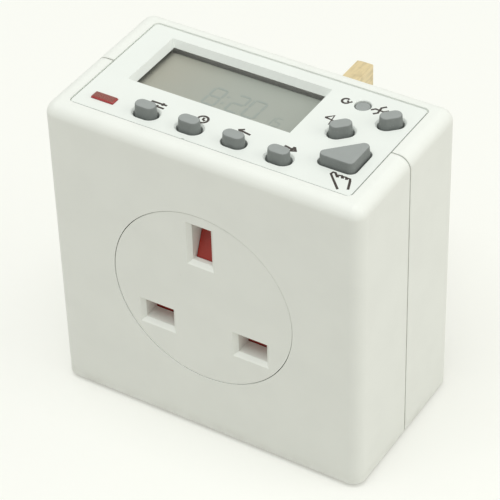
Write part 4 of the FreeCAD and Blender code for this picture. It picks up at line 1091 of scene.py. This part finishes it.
class TIMER_OT_inside(Operator):
    """Gives every node that still shows the finish of its own slot"""

    bl_idname = "timer.inside"
    bl_label = "Inner pieces"

    def execute(self, context):
        for name, node in frame["nodes"].items():
            if not node.hide_render:
                node.data.materials.clear()
                node.data.materials.append(finish(node_slot(name)))
        return {"FINISHED"}


class TIMER_OT_stage(Operator):
    """Makes the floor, the soft light and the camera"""

    bl_idname = "timer.stage"
    bl_label = "Stage"

    def execute(self, context):
        stage = context.scene.timer_stage
        self.make_floor(stage)
        self.make_world(context, stage)
        for name in ("overhead", "side"):
            self.make_lamp(name, stage)
        self.make_camera(context, stage)
        context.scene.view_settings.view_transform = "Standard"
        return {"FINISHED"}

    def make_floor(self, stage):
        """A wide pale floor, a little under the part so that its lower rim casts a line of shadow."""
        bm = bmesh.new()
        bmesh.ops.create_grid(bm, x_segments=2, y_segments=2, size=FLOOR_REACH)
        bmesh.ops.translate(bm, verts=bm.verts, vec=(0.0, 0.0, -stage.floor_gap))
        floor = piece_from(bm, "floor")
        paint = Paint("floor_card")
        shown = paint.mix(paint.noise(40 * MM, 2.0) * 0.3, stage.floor, shade(stage.floor, 0.985))
        looking = paint.looking()
        floor.data.materials.append(paint.set(
            Base_Color=paint.mix(looking, stage.bounce, shown),
            Emission_Color=paint.mix(looking, (0.0, 0.0, 0.0), stage.lift), Emission_Strength=1.0,
            Roughness=0.9, Specular_IOR_Level=0.1))

    def make_world(self, context, stage):
        """Even room light, with the backdrop for the camera, reflections and glass."""
        world = bpy.data.worlds.new("room")
        context.scene.world = world
        world.use_nodes = True
        world.node_tree.nodes.clear()
        shading = Shading(world.node_tree)
        light = {"Color": stage.ambient_tint, "Strength": stage.ambient}
        room = shading.node("ShaderNodeBackground", {}, light)
        behind = shading.node("ShaderNodeBackground", {}, {"Color": stage.backdrop})
        both = shading.node("ShaderNodeMixShader", {}, {0: shading.looking(), 1: room, 2: behind})
        shading.node("ShaderNodeOutputWorld", {}, {"Surface": both}, None)

    def make_lamp(self, name, stage):
        """A square soft lamp that faces the part."""
        lamp = bpy.data.lights.new(name + "_lamp", "AREA")
        lamp.energy = getattr(stage, name)
        lamp.size = getattr(stage, name + "_size")
        lamp.color = getattr(stage, name + "_tint")
        holder = placed(name + "_lamp", lamp)
        holder.location = getattr(stage, name + "_place")
        aim = (cad_low + cad_high) / 2 - holder.location
        holder.rotation_euler = aim.to_track_quat("-Z", "Y").to_euler()

    def make_camera(self, context, stage):
        """The camera at the photograph's viewing angle."""
        a, e = stage.azimuth, stage.elevation
        back = Vector((math.sin(a) * math.cos(e), -math.cos(a) * math.cos(e), math.sin(e)))
        level = Vector((math.cos(a), math.sin(a), 0.0))
        right = Matrix.Rotation(-stage.roll, 3, -back) @ level
        view = Matrix((right, back.cross(right), back)).transposed().to_4x4()
        lens = bpy.data.cameras.new("camera")
        lens.lens = stage.lens
        lens.sensor_width = SENSOR
        lens.clip_start, lens.clip_end = CLIP
        camera = placed("camera", lens)
        camera.matrix_world = Matrix.Translation(Vector(stage.target) + back * stage.distance) @ view
        context.scene.camera = camera


class TIMER_PT_sidebar(Panel):
    """Lists the timer's settings and the operators that make its pieces"""

    bl_idname = "TIMER_PT_sidebar"
    bl_label = "Plug-in timer"
    bl_space_type = "VIEW_3D"
    bl_region_type = "UI"
    bl_category = "Timer"

    def draw(self, context):
        for operator in OPERATORS:
            self.layout.operator(operator.bl_idname)
        for name, group in SETTINGS.items():
            box = self.layout.box()
            box.label(text=group.__doc__)
            for key in group.__annotations__:
                box.prop(getattr(context.scene, name), key)


OPERATORS = (TIMER_OT_shells, TIMER_OT_panel, TIMER_OT_outlet, TIMER_OT_keys, TIMER_OT_display,
             TIMER_OT_print, TIMER_OT_pins, TIMER_OT_screws, TIMER_OT_inside, TIMER_OT_stage)


def register():
    """Registers the settings, the operators and the panel."""
    for name, group in SETTINGS.items():
        bpy.utils.register_class(group)
        setattr(bpy.types.Scene, name, PointerProperty(type=group))
    for made in (*OPERATORS, TIMER_PT_sidebar):
        bpy.utils.register_class(made)


def unregister():
    """Takes away what register added."""
    for made in reversed((*OPERATORS, TIMER_PT_sidebar)):
        bpy.utils.unregister_class(made)
    for name, group in reversed(SETTINGS.items()):
        delattr(bpy.types.Scene, name)
        bpy.utils.unregister_class(group)


def main():
    register()
    bpy.ops.timer.shells()
    bpy.ops.timer.panel()
    bpy.ops.timer.outlet()
    bpy.ops.timer.keys()
    bpy.ops.timer.display()
    bpy.ops.timer.panel_print()
    bpy.ops.timer.pins()
    bpy.ops.timer.screws()
    bpy.ops.timer.inside()
    bpy.ops.timer.stage()


if __name__ == "__main__":
    main()
